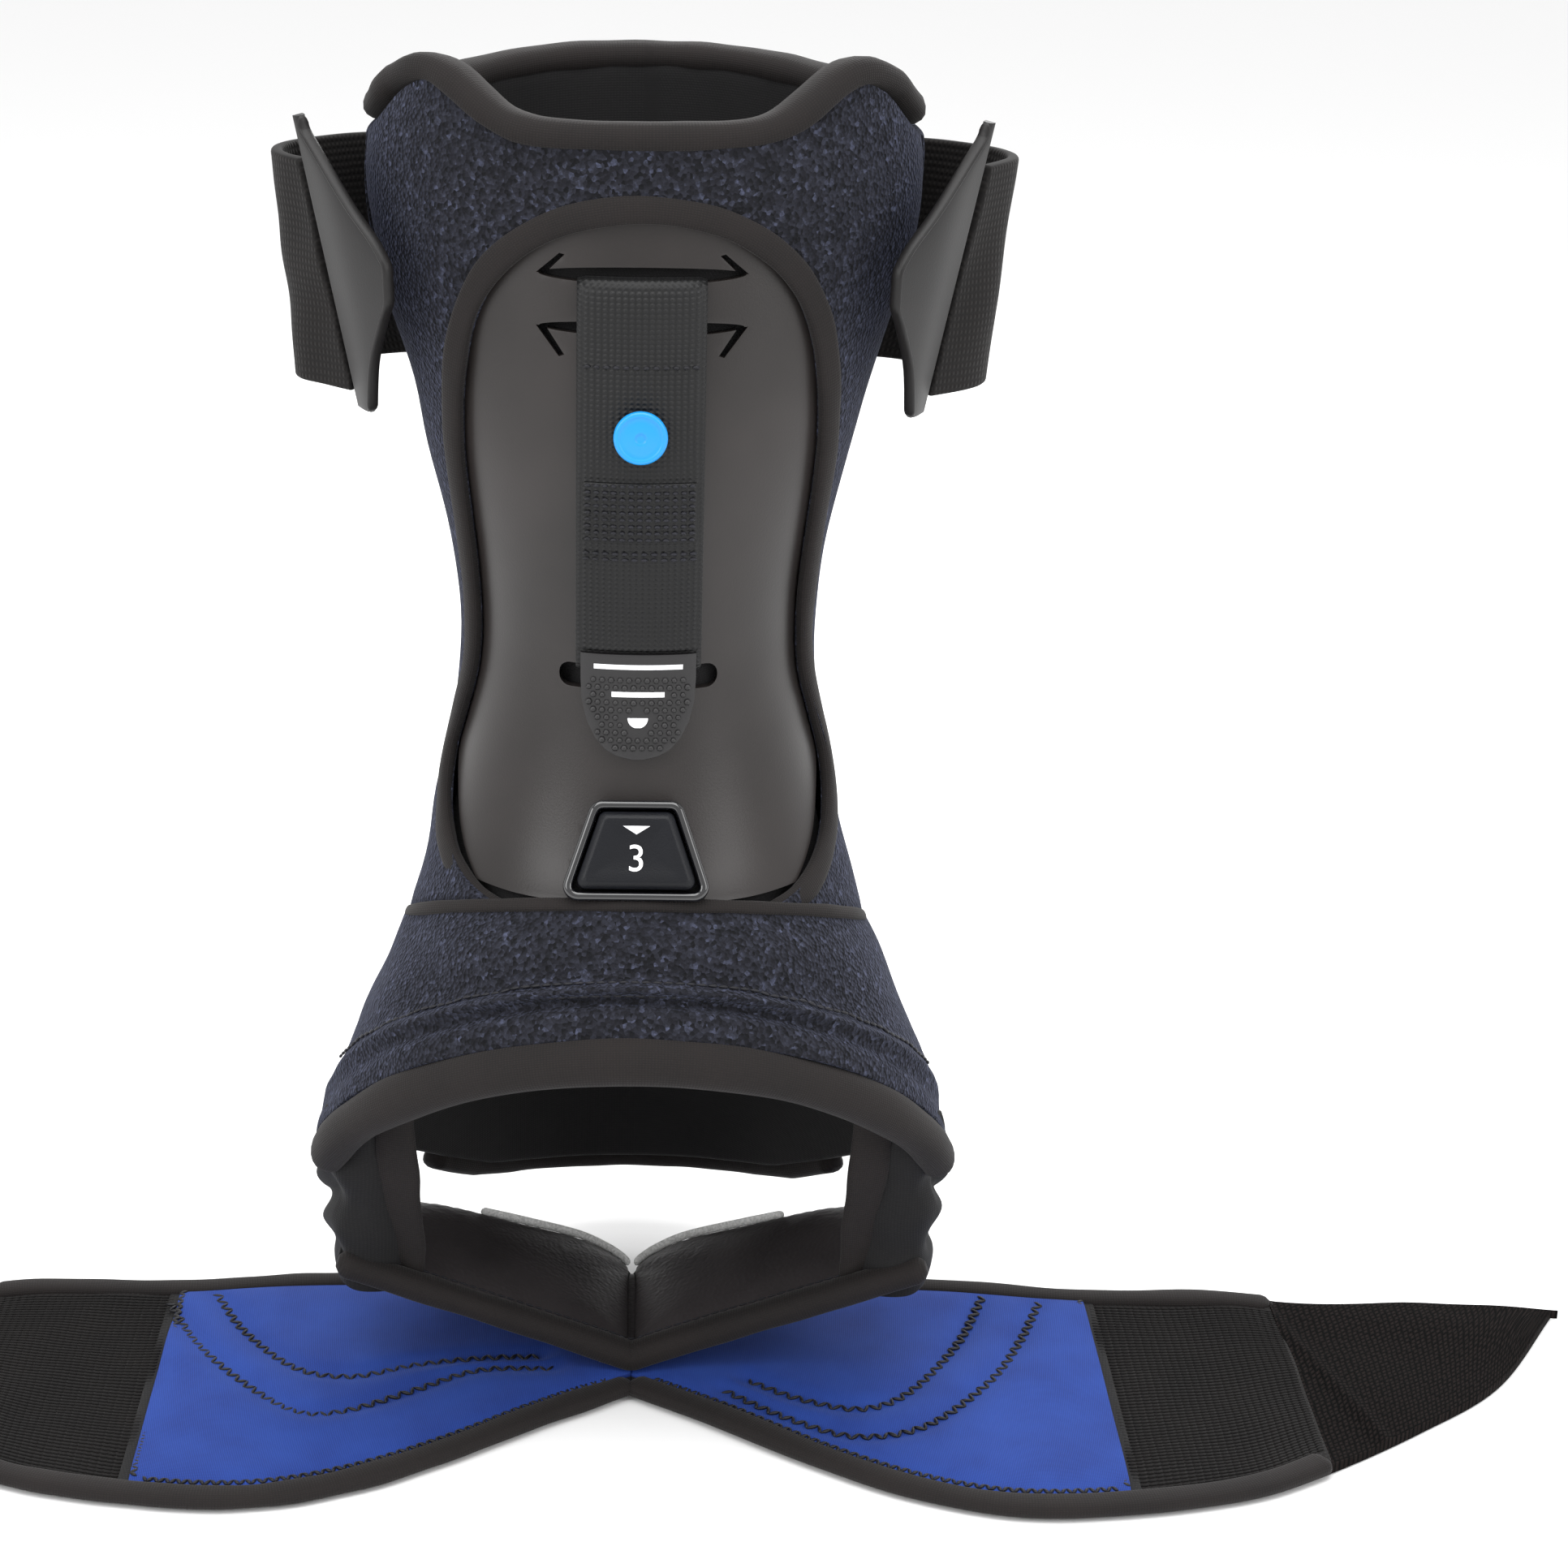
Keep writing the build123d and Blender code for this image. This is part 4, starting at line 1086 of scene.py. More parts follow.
near, far = np.array(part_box("snap_disc")) / MM
centre = np.array([(near[0] + far[0]) / 2, far[1], (near[2] + far[2]) / 2])
snap = turned("snap_disc_cap", [(0, 0.1), (5.6, 0), (6.1, 0.5), (6.2, 1.2), (6.05, 1.75),
                                (5.7, 2.05), (5.2, 2.1), (4.9, 1.9), (4.6, 1.75), (3.6, 1.95),
                                (1.7, 2.15), (1.3, 2.15), (1.1, 1.9), (0.5, 1.85), (0, 1.85)],
              centre, X, Z, -Y, SNAP_POM)
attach(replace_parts(snap, "snap_disc"), "leg")

# %% [markdown]
# The strap ends in a soft moulded tab that peels up. Its outline is squared at the strap and round
# at the free end, and its face is dimpled so that a thumb can grip it. Geometry Nodes puts the
# grip studs on a staggered grid of points, so their size and height are two inputs.

# %% Strap end tab with its grip studs
def stud_tree():
    """Geometry Nodes: one low dome at each point of the input."""
    tree = bpy.data.node_groups.new("grip_studs", "GeometryNodeTree")
    face = tree.interface
    face.new_socket("Geometry", in_out="INPUT", socket_type="NodeSocketGeometry")
    for label, value in (("Stud radius", 0.0006), ("Stud height", 0.0003)):
        face.new_socket(label, in_out="INPUT", socket_type="NodeSocketFloat").default_value = value
    face.new_socket("Seed", in_out="INPUT", socket_type="NodeSocketInt").default_value = 2
    face.new_socket("Stud", in_out="INPUT", socket_type="NodeSocketMaterial")
    face.new_socket("Geometry", in_out="OUTPUT", socket_type="NodeSocketGeometry")
    given = tree.nodes.new("NodeGroupInput").outputs
    facing = add_node(tree, "GeometryNodeInputNamedAttribute", {"Name": "facing"},
                      data_type="FLOAT_VECTOR")
    turned_to = add_node(tree, "FunctionNodeAlignRotationToVector",
                         {"Vector": facing.outputs[0]}, axis="Z")
    points = add_node(tree, "GeometryNodeMeshToPoints", {"Mesh": given["Geometry"]})
    dome = add_node(tree, "GeometryNodeMeshUVSphere", {"Segments": 6, "Rings": 4, "Radius": 1.0})
    wobble = add_node(tree, "FunctionNodeRandomValue", {"Seed": given["Seed"], 2: 0.9, 3: 1.1},
                      data_type="FLOAT")
    size = add_node(tree, "ShaderNodeCombineXYZ", {"X": given["Stud radius"],
                                                   "Y": given["Stud radius"],
                                                   "Z": given["Stud height"]})
    varied = add_node(tree, "ShaderNodeVectorMath", {0: size.outputs[0], "Scale":
                                                     wobble.outputs[1]}, operation="SCALE")
    placed = add_node(tree, "GeometryNodeInstanceOnPoints", {
        "Points": points.outputs["Points"], "Instance": dome.outputs["Mesh"],
        "Rotation": turned_to.outputs["Rotation"], "Scale": varied.outputs[0]})
    return finish_tree(tree, placed, given["Stud"])


STUDS = stud_tree()


def put_studs(name, spots, facing, radius, height, material):
    """Low domes at points in millimetres, as one plain mesh."""
    mesh = bpy.data.meshes.new(name)
    mesh.from_pydata((spots * MM).tolist(), [], [])
    mesh.attributes.new("facing", "FLOAT_VECTOR", "POINT").data.foreach_set(
        "vector", np.ascontiguousarray(facing, np.float32).ravel())
    return run_tree(add_object(name, mesh), STUDS, {
        "Stud radius": radius * MM, "Stud height": height * MM, "Stud": material})


def tab_half_width(z):
    """Half the width of the end tab at a height."""
    return np.interp(z, [178.2, 178.8, 180.3, 183, 187, 192, 197, 203],
                     [1.8, 4.6, 7.5, 10, 12, 13.2, 13.5, 13.5])


zs = np.concatenate([np.linspace(203.2, 185, 26), np.linspace(184.4, 178.2, 20)])
u = np.linspace(-1, 1, 23)
x = tab_half_width(zs)[:, None] * u[None]
z = np.broadcast_to(zs[:, None], x.shape)
tab_face = on_strap(x, z, 0).reshape(*x.shape, 3)
crown = 0.35 * (1 - np.abs(u[None]) ** 6) * np.clip((zs[:, None] - 177) / 4, 0.2, 1)
end_tab = wall("strap_end_tab_grip", tab_face - Y * (2.6 + crown)[..., None],
               tab_face - Y * 0.9, TAB_TPE, edge=0.55)
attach(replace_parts(end_tab, "strap_end_tab"), "end_tab")

spots = np.array([(i * 2.1 + (j % 2) * 1.05, 197.0 - j * 1.8) for j in range(11)
                  for i in range(-7, 8)])
spots = spots[(np.abs(spots[:, 0]) < tab_half_width(spots[:, 1]) - 1.2) & (spots[:, 1] > 180.0)]
spots = spots[~((np.abs(spots[:, 0]) < 6.6) & (np.abs(spots[:, 1] - 193.6) < 1.3))]
spots = spots[np.hypot(spots[:, 0], spots[:, 1] - 186.9) > 3.4]
studs = put_studs("end_tab_studs", on_strap(spots[:, 0], spots[:, 1], 2.92),
                  np.tile([0, -1.0, 0.0], (len(spots), 1)), 0.82, 0.6, TAB_TPE)
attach(studs, "end_tab")


for name, z_high, z_low, half_width in (
        ("tab_mark_long", 200.8, 199.7, lambda z: 10.4 + 0 * z),
        ("tab_mark_short", 194.3, 193.1, lambda z: 6.2 + 0 * z),
        ("tab_mark_dot", 188.1, 185.8, lambda z: np.sqrt(np.clip(2.4 ** 2 - (188.1 - z) ** 2,
                                                                 0.1, None)))):
    z = np.linspace(z_high, z_low, 9)[:, None]
    x = half_width(z) * np.linspace(-1, 1, 31)[None]
    z = np.broadcast_to(z, x.shape)
    faces = [on_strap(x, z, 0).reshape(*x.shape, 3) - Y * off for off in (3.16, 2.7)]
    mark = wall(name, *faces, INK, edge=0)
    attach(mark, "end_tab")
print("end tab studs", len(spots))

# %% [markdown]
# The calf strap is sewn round the back of the sleeve and stands out from each side in a loop, which
# ends in a stiff grip tab. The loops lean outwards, so each is a ruled sheet between a lower and an
# upper line in plan. The cloth is given its thickness along the plan direction.

# %% Calf strap, loops and grip tabs
def plan_sheet(low_line, high_line, z_low, z_high, columns, rows, smooth=True):
    """A leaning sheet between two plan lines, as a grid of points from the top down."""
    low = even_steps(low_line, columns, smooth)
    high = even_steps(high_line, columns, smooth)
    t = np.linspace(1, 0, rows)[:, None, None]
    flat = high[None] * t + low[None] * (1 - t)
    z = z_low + (z_high - z_low) * np.broadcast_to(t, flat[..., :1].shape)
    return np.concatenate([flat, z], -1)


def thick_sheet(name, grid, thick, material, lift=0.0, edge=0.8, taper=None):
    """A wall on both sides of a standing sheet of points."""
    s = np.gradient(grid, axis=1)
    t = np.gradient(grid, axis=0)
    normal = np.cross(t, s)
    normal /= np.linalg.norm(normal, axis=2, keepdims=True)
    half = thick / 2 if taper is None else thick / 2 * taper[..., None]
    lift = np.asarray(lift)[..., None] if np.ndim(lift) else lift
    return wall(name, grid + normal * (half + lift), grid - normal * (half - lift), material,
                edge=edge)


z_rows = np.linspace(312.5, 256, 34)[:, None]
turn = np.linspace(0, 1, 61)
v = np.linspace(0.6, 2, 34)[:, None]
for _ in range(6):
    phi = round_the_back(phi_at(24, v), turn[None])
    v = at_height(phi, np.broadcast_to(z_rows, phi.shape))
grid = np.stack([phi, v], -1)
calf_band = layer("calf_strap_band", grid, -2.2, 0.2, ELASTIC,
                  lift=0.3 * uneven(leg(phi, v), 20, 31), edge=0.8)
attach(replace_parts(calf_band, "calf_strap"), "leg")

LOOP_LOW = [(48, 24), (66, 17), (80, 3), (80.5, -10), (67.8, -21.6)]
LOOP_HIGH = [(61.5, 22), (74, 16), (85, 4), (86.5, -9), (79.2, -21.4)]
GRIP_LOW = [(65.9, -24), (62, -33), (57, -41.5)]
GRIP_HIGH = [(79.7, -24), (71.5, -36.5), (58.5, -49.5)]
GRIP_EDGE = np.array([(80.8, 322), (74.5, 314), (66.5, 303), (60, 295), (56.8, 287), (59.5, 277),
                      (62, 267), (63.2, 254)], float)
for side, label in ((1, "right"), (-1, "left")):
    flip = np.array([side, 1, 1])
    grid = plan_sheet(LOOP_LOW, LOOP_HIGH, 257, 311.5, 44, 34)
    loop = thick_sheet(f"calf_loop_{label}_cloth", grid * flip, 2.8, ELASTIC,
                       lift=0.4 * uneven(grid, 18, 40 + side))
    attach(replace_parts(loop, f"calf_loop_{label}"), "leg")
    full = plan_sheet(GRIP_LOW, GRIP_HIGH, 254, 322, 60, 46)
    edge_line = even_steps(GRIP_EDGE, 160)
    reach = np.interp(full[:, 0, 2], edge_line[::-1, 1], edge_line[::-1, 0])
    tab = np.empty((46, 26, 3))
    for r in range(46):
        stop = np.interp(-max(reach[r], 57.3), -full[r, :, 0], np.linspace(0, 1, 60))
        stop = max(stop, 0.06)
        for k in range(3):
            tab[r, :, k] = np.interp(np.linspace(0, stop, 26), np.linspace(0, 1, 60),
                                     full[r, :, k])
    across = np.linspace(0, 1, 26)[None, :]
    grip = thick_sheet(f"calf_tab_{label}_grip", tab * flip, 2.6, GRIP_TPE, edge=0.9,
                       taper=np.broadcast_to(1 - 0.35 * across ** 4, tab.shape[:2]))
    body = f"calf_grip_{label}"
    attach(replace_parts(grip, f"calf_tab_{label}"), body)
    free = tab[:, -1] * flip
    out = np.cross(directions(free), (tab[:, -1] - tab[:, -3]) * flip)
    out /= np.linalg.norm(out, axis=1, keepdims=True)
    rim_edge = roll(f"calf_tab_{label}_edge", even_steps(free, 90, smooth=False),
                    even_steps(np.hstack([free, out * 50]), 90, smooth=False)[:, 3:],
                    oval(1.3, 2.9, 12), GRIP_TPE)
    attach(rim_edge, body)
print("calf pieces made")

# %% [markdown]
# The foot band is a broad stretch of loop fabric over the instep. A curved line of stitching holds
# a cord-like ridge across it, and its top edge has a narrow bound lip. Below it the cloth is rolled
# back into a thick smooth hem that arches over the foot opening.

# %% Foot band, its ridge and its rolled hem
BAND_TOP = [(-130, 173.2), (-75, 147.9), (-18, 121.4), (-7.7, 119)]
BAND_LOW = [(-130.4, 159.4), (-92.4, 120.6), (-44.3, 71.6), (-36, 64), (-7.7, 62.2)]
HEM_MIDDLE = [(-134, 155.8), (-96, 117), (-48, 68), (-40, 60)]


def line_across(line, depth, z, count, inset=0.0):
    """(phi, v) of a side-view line carried round the front from side to side."""
    end = float(on_side([(depth, z)], 1, inset)[0, 0])
    phi = np.linspace(-end, end, count)
    return np.stack([phi, at_line(phi, line, inset)], -1)


side_edge = on_leg(on_side([(-7.7, 119), (-7.7, 100), (-7.7, 80), (-7.7, 62.2)], 1), 46)
band_grid = fill_between(on_leg(line_across(BAND_TOP, -7.7, 119, 90), 101),
                         on_leg(line_across(BAND_LOW, -7.7, 62.2, 90), 101),
                         side_edge * [-1, 1], side_edge)
spots = leg(band_grid[..., 0], band_grid[..., 1])
down = np.linspace(0, 1, 46)[:, None] * np.ones((1, 101))
arch = 0.60 + 0.10 * (np.abs(spots[..., 0]) / 60) ** 2
ridge = (3.0 * np.exp(-((down - arch) / 0.04) ** 2) - 1.8 * np.exp(
    -((down - arch - 0.11) / 0.04) ** 2)) * np.clip(1.5 - np.abs(spots[..., 0]) / 62, 0, 1)
belly = 1.2 * np.sin(math.pi * np.clip(down / 0.5, 0, 1)) + 1.0 * np.sin(
    math.pi * np.clip((down - 0.6) / 0.4, 0, 1))
lift = belly * 0.8 + ridge + 0.55 * uneven(spots, 26, 12)
band = layer("instep_band_cloth", band_grid, 0.0, 2.2, LOOP, lift=lift, edge=0.8)
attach(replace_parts(band, "instep_band"), "foot")

top_line = on_leg(line_across(BAND_TOP, -7.7, 119, 90), 130)
sink = 0.2 + 4.6 * np.abs(np.linspace(-1, 1, 130)) ** 6
lip = bead("instep_band_lip", top_line, sink, 3.4, 3.2, BINDING, shift=0.4, seed=4)
hem_line = on_leg(line_across(HEM_MIDDLE, -48, 68, 90), 130)
hem_swell = 1 + 0.05 * uneven(leg(hem_line[:, 0], hem_line[:, 1]), 22, 6)
hem = roll("foot_opening_hem", leg(hem_line[:, 0], hem_line[:, 1], 3.4), outwards(hem_line),
           oval(11.5, 9.5, 20, 2.2), BINDING, swell=hem_swell)
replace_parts(hem, "hem_binding")
for piece in (lip, hem):
    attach(piece, "foot")
plate_phi = np.linspace(-0.72, 0.72, 40)
plate = [np.stack([plate_phi, at_line(plate_phi, line, 2.4)], -1) for line in
         ([(-120, 156.2), (-77.5, 136.5), (-40, 122)], [(-118, 148.2), (-89.5, 123), (-60, 97)])]
rows = np.linspace(0, 1, 16)[:, None, None]
plate = layer("instep_plate", plate[0][None] * (1 - rows) + plate[1][None] * rows, 2.4, 5.0,
              SHELL_PP, edge=0.6)
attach(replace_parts(plate, "foot_plate"), "foot")
arch_line = band_grid[(arch[22] * 45).astype(int), np.arange(101)][15:-15]
sewing = [stitch_line(leg(arch_line[:, 0], arch_line[:, 1] + shift, inset), 2.6)
          for shift, inset in ((-0.055, -1.0), (0.075, -0.2))]
seam_thread = put_stitches("instep_band_stitches", sewing, 0.42)
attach(seam_thread, "foot")
print("band", [round(x, 3) for x in band.dimensions])

# %% [markdown]
# The heel panel's lower edge is bound with a thicker tape, which runs round the back from one side
# panel to the other. It follows a line that drops towards the back of the heel.

# %% Heel edge tape
heel_line = on_side([(5.4, 39.6)], 1)[0, 0]
phi = np.linspace(float(heel_line), 2 * math.pi - float(heel_line), 150)
phi = np.where(phi > math.pi, phi - 2 * math.pi, phi)
heel_low = np.stack([phi, at_line(phi, HEEL_BOUND)], -1)
heel_tape = bead("heel_edge_tape", heel_low, 2.8, 5.6, 7.4, BINDING, seed=14)
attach(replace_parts(heel_tape, "heel_binding"), "foot")
print("heel tape", [round(x, 3) for x in heel_tape.dimensions])

# %% [markdown]
# A loose side panel drops from each end of the hem to the sole's raised edge. It is slack cloth, so
# it gathers into folds and its outer line is scalloped. The panel starts as a smooth upright sheet
# between two lines drawn in plan, and the folds are waves added to it, which fade out at the hem
# and at the sole. A bound strip holds its front edge, and stands in front of it like a small post.

# %% Gathered side panels and their posts
for side, label in ((1, "right"), (-1, "left")):
    flip = np.array([side, 1, 1])
    shape = plan_sheet([(58, -43), (64, -47.5), (70, -48.5), (73.6, -44), (75.6, -34), (76.5, -15),
                        (77, 5)],
                       [(57, -52), (65, -57), (72.5, -54.5), (77, -45), (78, -32), (78.5, -14),
                        (78, 5)], 0, 1, 84, 44)
    top = np.interp(np.linspace(0, 1, 84), [0, 0.3, 0.55, 1], [88, 83, 60, 46])
    foot = np.interp(np.linspace(0, 1, 84), [0, 0.25, 1], [28.5, 31, 33.5])
    shape[..., 2] = foot + (top - foot) * shape[..., 2]
    fall = np.linspace(0, 1, 44)[:, None]
    outer = 0.25 + 0.75 * np.clip((shape[..., 0] - 66) / 9, 0, 1)
    wave = 2.3 * np.sin(fall * 17 + 0.7 * np.sin(shape[..., 1] / 8) + side) * np.sin(
        math.pi * fall) ** 0.6
    folds = outer * (wave + 1.2 * uneven(shape, 13, 50 + side) * np.sin(math.pi * fall) ** 0.5)
    panel = thick_sheet(f"side_panel_{label}_cloth", shape * flip, 2.0, LINER, edge=0.7,
                        lift=-folds * 0.75 * side)
    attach(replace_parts(panel, f"side_panel_{label}"), "foot")
    post = even_steps([(59, -58.5, 87), (58.6, -56.5, 74), (58, -52.5, 60), (57.6, -48.5, 48),
                       (57.8, -45, 38), (58.5, -42.5, 29.5)], 60) * flip
    face = np.tile([0.25 * side, -0.97, 0.1], (60, 1))
    strip = roll(f"side_post_{label}", post, face, oval(10.4, 3.4, 16), BINDING,
                 swell=1 + 0.05 * uneven(post, 12, 60 + side))
    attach(strip, "foot")
print("side panels", [round(x, 3) for x in panel.dimensions])

# %% [markdown]
# The sole is folded on its centre line into two padded halves that rise to each side. Each half is
# foam with a soft leather cover, so it is crowned, pulls in at its edges and is flat below where it
# rests. Cloth simulation makes that shape: a flat bag is remeshed, its lower face is held, and air
# pressure fills it for twenty frames with gravity off. How far a point may move is capped. The foam
# slab below is wrapped in the liner's cloth, and shows as a thin pale lip at its rear edge.

# %% Padded sole halves
TILT = math.radians(23)
SOLE_BASE = 4.6


def on_sole(u, y, t, side=1):
    """A point on one half of the sole: u outwards up the slope, y back, t above it."""
    u, y, t = np.broadcast_arrays(*(np.asarray(a, float) for a in (u, y, t)))
    return np.stack([side * (u * math.cos(TILT) - t * math.sin(TILT)), y,
                     SOLE_BASE + u * math.sin(TILT) + t * math.cos(TILT)], -1)


def flat_grid(near, far, columns, rows):
    """A grid of flat points between a front line and a back line."""
    a, b = even_steps(near, columns), even_steps(far, columns)
    t = np.linspace(0, 1, rows)[:, None, None]
    return a[None] * (1 - t) + b[None] * t


def fill_with_air(piece, voxel, held_below, cap):
    """Cloth with pressure on a remeshed copy; points below a test plane are held still."""
    remesh = piece.modifiers.new("even", "REMESH")
    remesh.mode, remesh.voxel_size = "VOXEL", voxel * MM
    settle(piece)
    rest = np.array([v.co for v in piece.data.vertices])
    group = piece.vertex_groups.new(name="held")
    held = held_below(rest / MM)
    group.add([int(i) for i in np.nonzero(held)[0]], 1.0, "ADD")
    cloth = piece.modifiers.new("air", "CLOTH")
    cloth.settings.use_pressure, cloth.settings.uniform_pressure_force = True, 4.0
    cloth.settings.effector_weights.gravity = 0.0
    cloth.settings.vertex_group_mass = "held"
    cloth.settings.quality, cloth.settings.mass = 6, 0.25
    scene = bpy.context.scene
    for frame_number in range(1, 21):
        scene.frame_set(frame_number)
    moved = np.array([v.co for v in piece.evaluated_get(
        bpy.context.evaluated_depsgraph_get()).data.vertices])
    piece.modifiers.clear()
    scene.frame_set(1)
    step = moved - rest
    far = np.linalg.norm(step, axis=1, keepdims=True)
    step *= np.minimum(1, cap * MM / np.maximum(far, 1e-9))
    piece.data.vertices.foreach_set("co", (rest + step).ravel())
    piece.vertex_groups.clear()
    return float(far.max())


COVER_NEAR = [(1.4, -39.5), (20, -41.2), (40, -43), (60, -45), (80, -46.5)]
COVER_FAR = [(1.4, 0), (4, 4.5), (9, 7.5), (18, 8.6), (34, 4.4), (60, -3.5), (80, -19)]
FOAM_NEAR = [(1.2, -38), (82, -46)]
FOAM_FAR = [(1.2, 1.5), (4, 6), (9, 9), (18, 10.1), (34, 6), (61, -2.5), (81, -14)]
for side, label in ((1, "right"), (-1, "left")):
    flip = np.array([side, 1, 1])
    foam_grid = flat_grid(FOAM_NEAR, FOAM_FAR, 40, 30)
    foam = wall(f"sole_foam_{label}_slab", on_sole(foam_grid[..., 0], foam_grid[..., 1], 2.7)
                * flip, on_sole(foam_grid[..., 0], foam_grid[..., 1], 0.1) * flip, LINER, edge=0.5)
    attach(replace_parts(foam, f"sole_foam_{label}"), "foot")
    rear = even_steps([(2.6, 4), (5, 6.6), (9.5, 8.8), (18, 9.6), (34, 5.4), (46, 1.6)], 90)
    lip_path = on_sole(rear[:, 0], rear[:, 1], 4.1) * flip
    out = np.tile([-side * math.sin(TILT), 0.25, math.cos(TILT)], (90, 1))
    foam_lip = roll(f"sole_foam_{label}_rear_edge", lip_path, out / np.linalg.norm(out[0]),
                    oval(1.1, 2.2, 14), FOAM)
    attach(foam_lip, "foot")
    grid = flat_grid(COVER_NEAR, COVER_FAR, 60, 44)
    edge = np.minimum(np.minimum(grid[..., 0] - 1.4, 80 - grid[..., 0]),
                      np.minimum(np.linspace(0, 57, 44)[:, None], np.linspace(57, 0, 44)[:, None]))
    crown = 1 - np.exp(-np.clip(edge, 0, None) / 5)
    high = 3.6 + 2.2 * crown
    cover = wall(f"sole_cover_{label}_pad", on_sole(grid[..., 0], grid[..., 1], high) * flip,
                 on_sole(grid[..., 0], grid[..., 1], 2.8) * flip, SOLE_PU, edge=0)
    normal = np.array([-side * math.sin(TILT), 0, math.cos(TILT)])
    base = np.array([0, 0, SOLE_BASE])
    swell = fill_with_air(cover, 1.3, lambda p: (p - base) @ normal < 3.9, 3.0)
    print("sole", label, "swelled", round(swell * 1000, 2), "mm")
    smooth = cover.modifiers.new("even", "SUBSURF")
    smooth.levels = smooth.render_levels = 1
    settle(cover)
    cover.data.shade_smooth()
    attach(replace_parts(cover, f"sole_cover_{label}"), "foot")
crease = even_steps([(0, -42, 6.4), (0, -16, 6.4), (0, 3, 6.0)], 40)
crease = roll("sole_centre_fold", crease, np.tile(Z, (40, 1)), oval(5.6, 3.6, 14), SOLE_PU)
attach(crease, "foot")
half = even_steps([(1.2, -42.0), (20, -43.6), (40, -45.8), (60, -48), (82, -50.4)], 60)
right_run = on_sole(half[:, 0], half[:, 1], 2.9)
run = np.vstack([right_run[::-1] * [-1, 1, 1], right_run[1:]])
run = even_steps(run, 120, smooth=False)
up = np.stack([-np.sin(TILT) * np.clip(run[:, 0] / 6, -1, 1), np.zeros(120),
               np.full(120, math.cos(TILT))], -1)
edge_tape = roll("sole_front_tape", run, up / np.linalg.norm(up, axis=1, keepdims=True),
                 oval(7.6, 7.2, 18, 2.3), BINDING, swell=1 + 0.04 * uneven(run, 16, 71))
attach(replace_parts(edge_tape, "sole_front_binding"), "foot")
sewing = [stitch_line(run + up * 3.4 + Y * 2.6, 2.6)]
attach(put_stitches("sole_front_stitches", sewing, 0.28), "foot")
print("sole cover", len(cover.data.polygons), "faces")

# %% [markdown]
# The two wrap straps lie on the table and leave under the sole. Each is a long leaf: a padded part
# with a blue jersey lining on top, then a length of knitted elastic, then a hook tab that narrows
# to a tip. A flat shape is a Coons patch in plan between its near and far edges. The lining is
# pulled down along its quilting, so its height drops in a soft groove beside each seam.

# %% Wrap strap outlines
NEAR = [(0, -50), (24, -66), (48, -84), (70, -97), (93, -104), (119, -103), (150, -96),
        (172, -84), (200, -64), (226, -41), (250, -3)]
FAR = [(0, 8), (79, 8), (120, 3), (160, 3), (186, -2), (211, 1), (230, 0), (250, -3)]
near_edge, far_edge = even_steps(NEAR, 700), even_steps(FAR, 700)


def plan_strip(x_from, x_to, columns, rows, near_in=0.0, far_in=0.0, lean=0.0):
    """Plan points of a strap between two x positions, drawn in from its edges."""
    x = np.linspace(x_from, x_to, columns)
    lower = np.interp(x, near_edge[:, 0], near_edge[:, 1]) + near_in
    upper = np.interp(x, far_edge[:, 0], far_edge[:, 1]) - far_in
    lower = np.minimum(lower, upper - 0.5)
    t = np.linspace(0, 1, rows)[:, None]
    y = lower[None] * (1 - t) + upper[None] * t
    return np.stack([np.broadcast_to(x, y.shape) + lean * (0.5 - t) * (x - x_from)
                     / max(x_to - x_from, 1), y], -1)


QUILTS = {"right": ([(110, -5), (102, -27), (92, -47), (74, -68), (56, -73), (40, -65), (24, -52)],
                    [(95, -2), (86, -27), (72, -51), (59, -60), (44, -56), (30, -47)]),
          "left": ([(124, -10), (114, -31), (99, -51), (85, -64), (73, -64), (55, -53), (39, -43),
                    (20, -42)],
                   [(112, -5), (102, -25), (87, -43), (72, -47), (56, -41), (39, -37), (24, -36)])}


def groove(flat, lines, wide):
    """How near each plan point is to a seam: 1 on it, falling to 0 across wide millimetres."""
    near = np.full(flat.shape[:-1], 1e9)
    for line in lines:
        for spot in even_steps(line, 150):
            near = np.minimum(near, np.hypot(flat[..., 0] - spot[0], flat[..., 1] - spot[1]))
    return np.exp(-(near / wide) ** 2)


def with_height(flat, height):
    """Plan points given a height, one for all or one each."""
    heights = np.broadcast_to(np.asarray(height, float), flat.shape[:2])
    return np.concatenate([flat, heights[..., None]], -1)


def lay_flat(name, flat, high, low, material, side, edge):
    """A wall lying on the table, from plan points and its upper and lower heights."""
    flip = np.array([side, 1, 1])
    return wall(name, with_height(flat, high) * flip, with_height(flat, low) * flip, material,
                edge=edge)


def fold_up(piece):
    """Bakes a strap piece's placement into its points."""
    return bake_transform(piece)


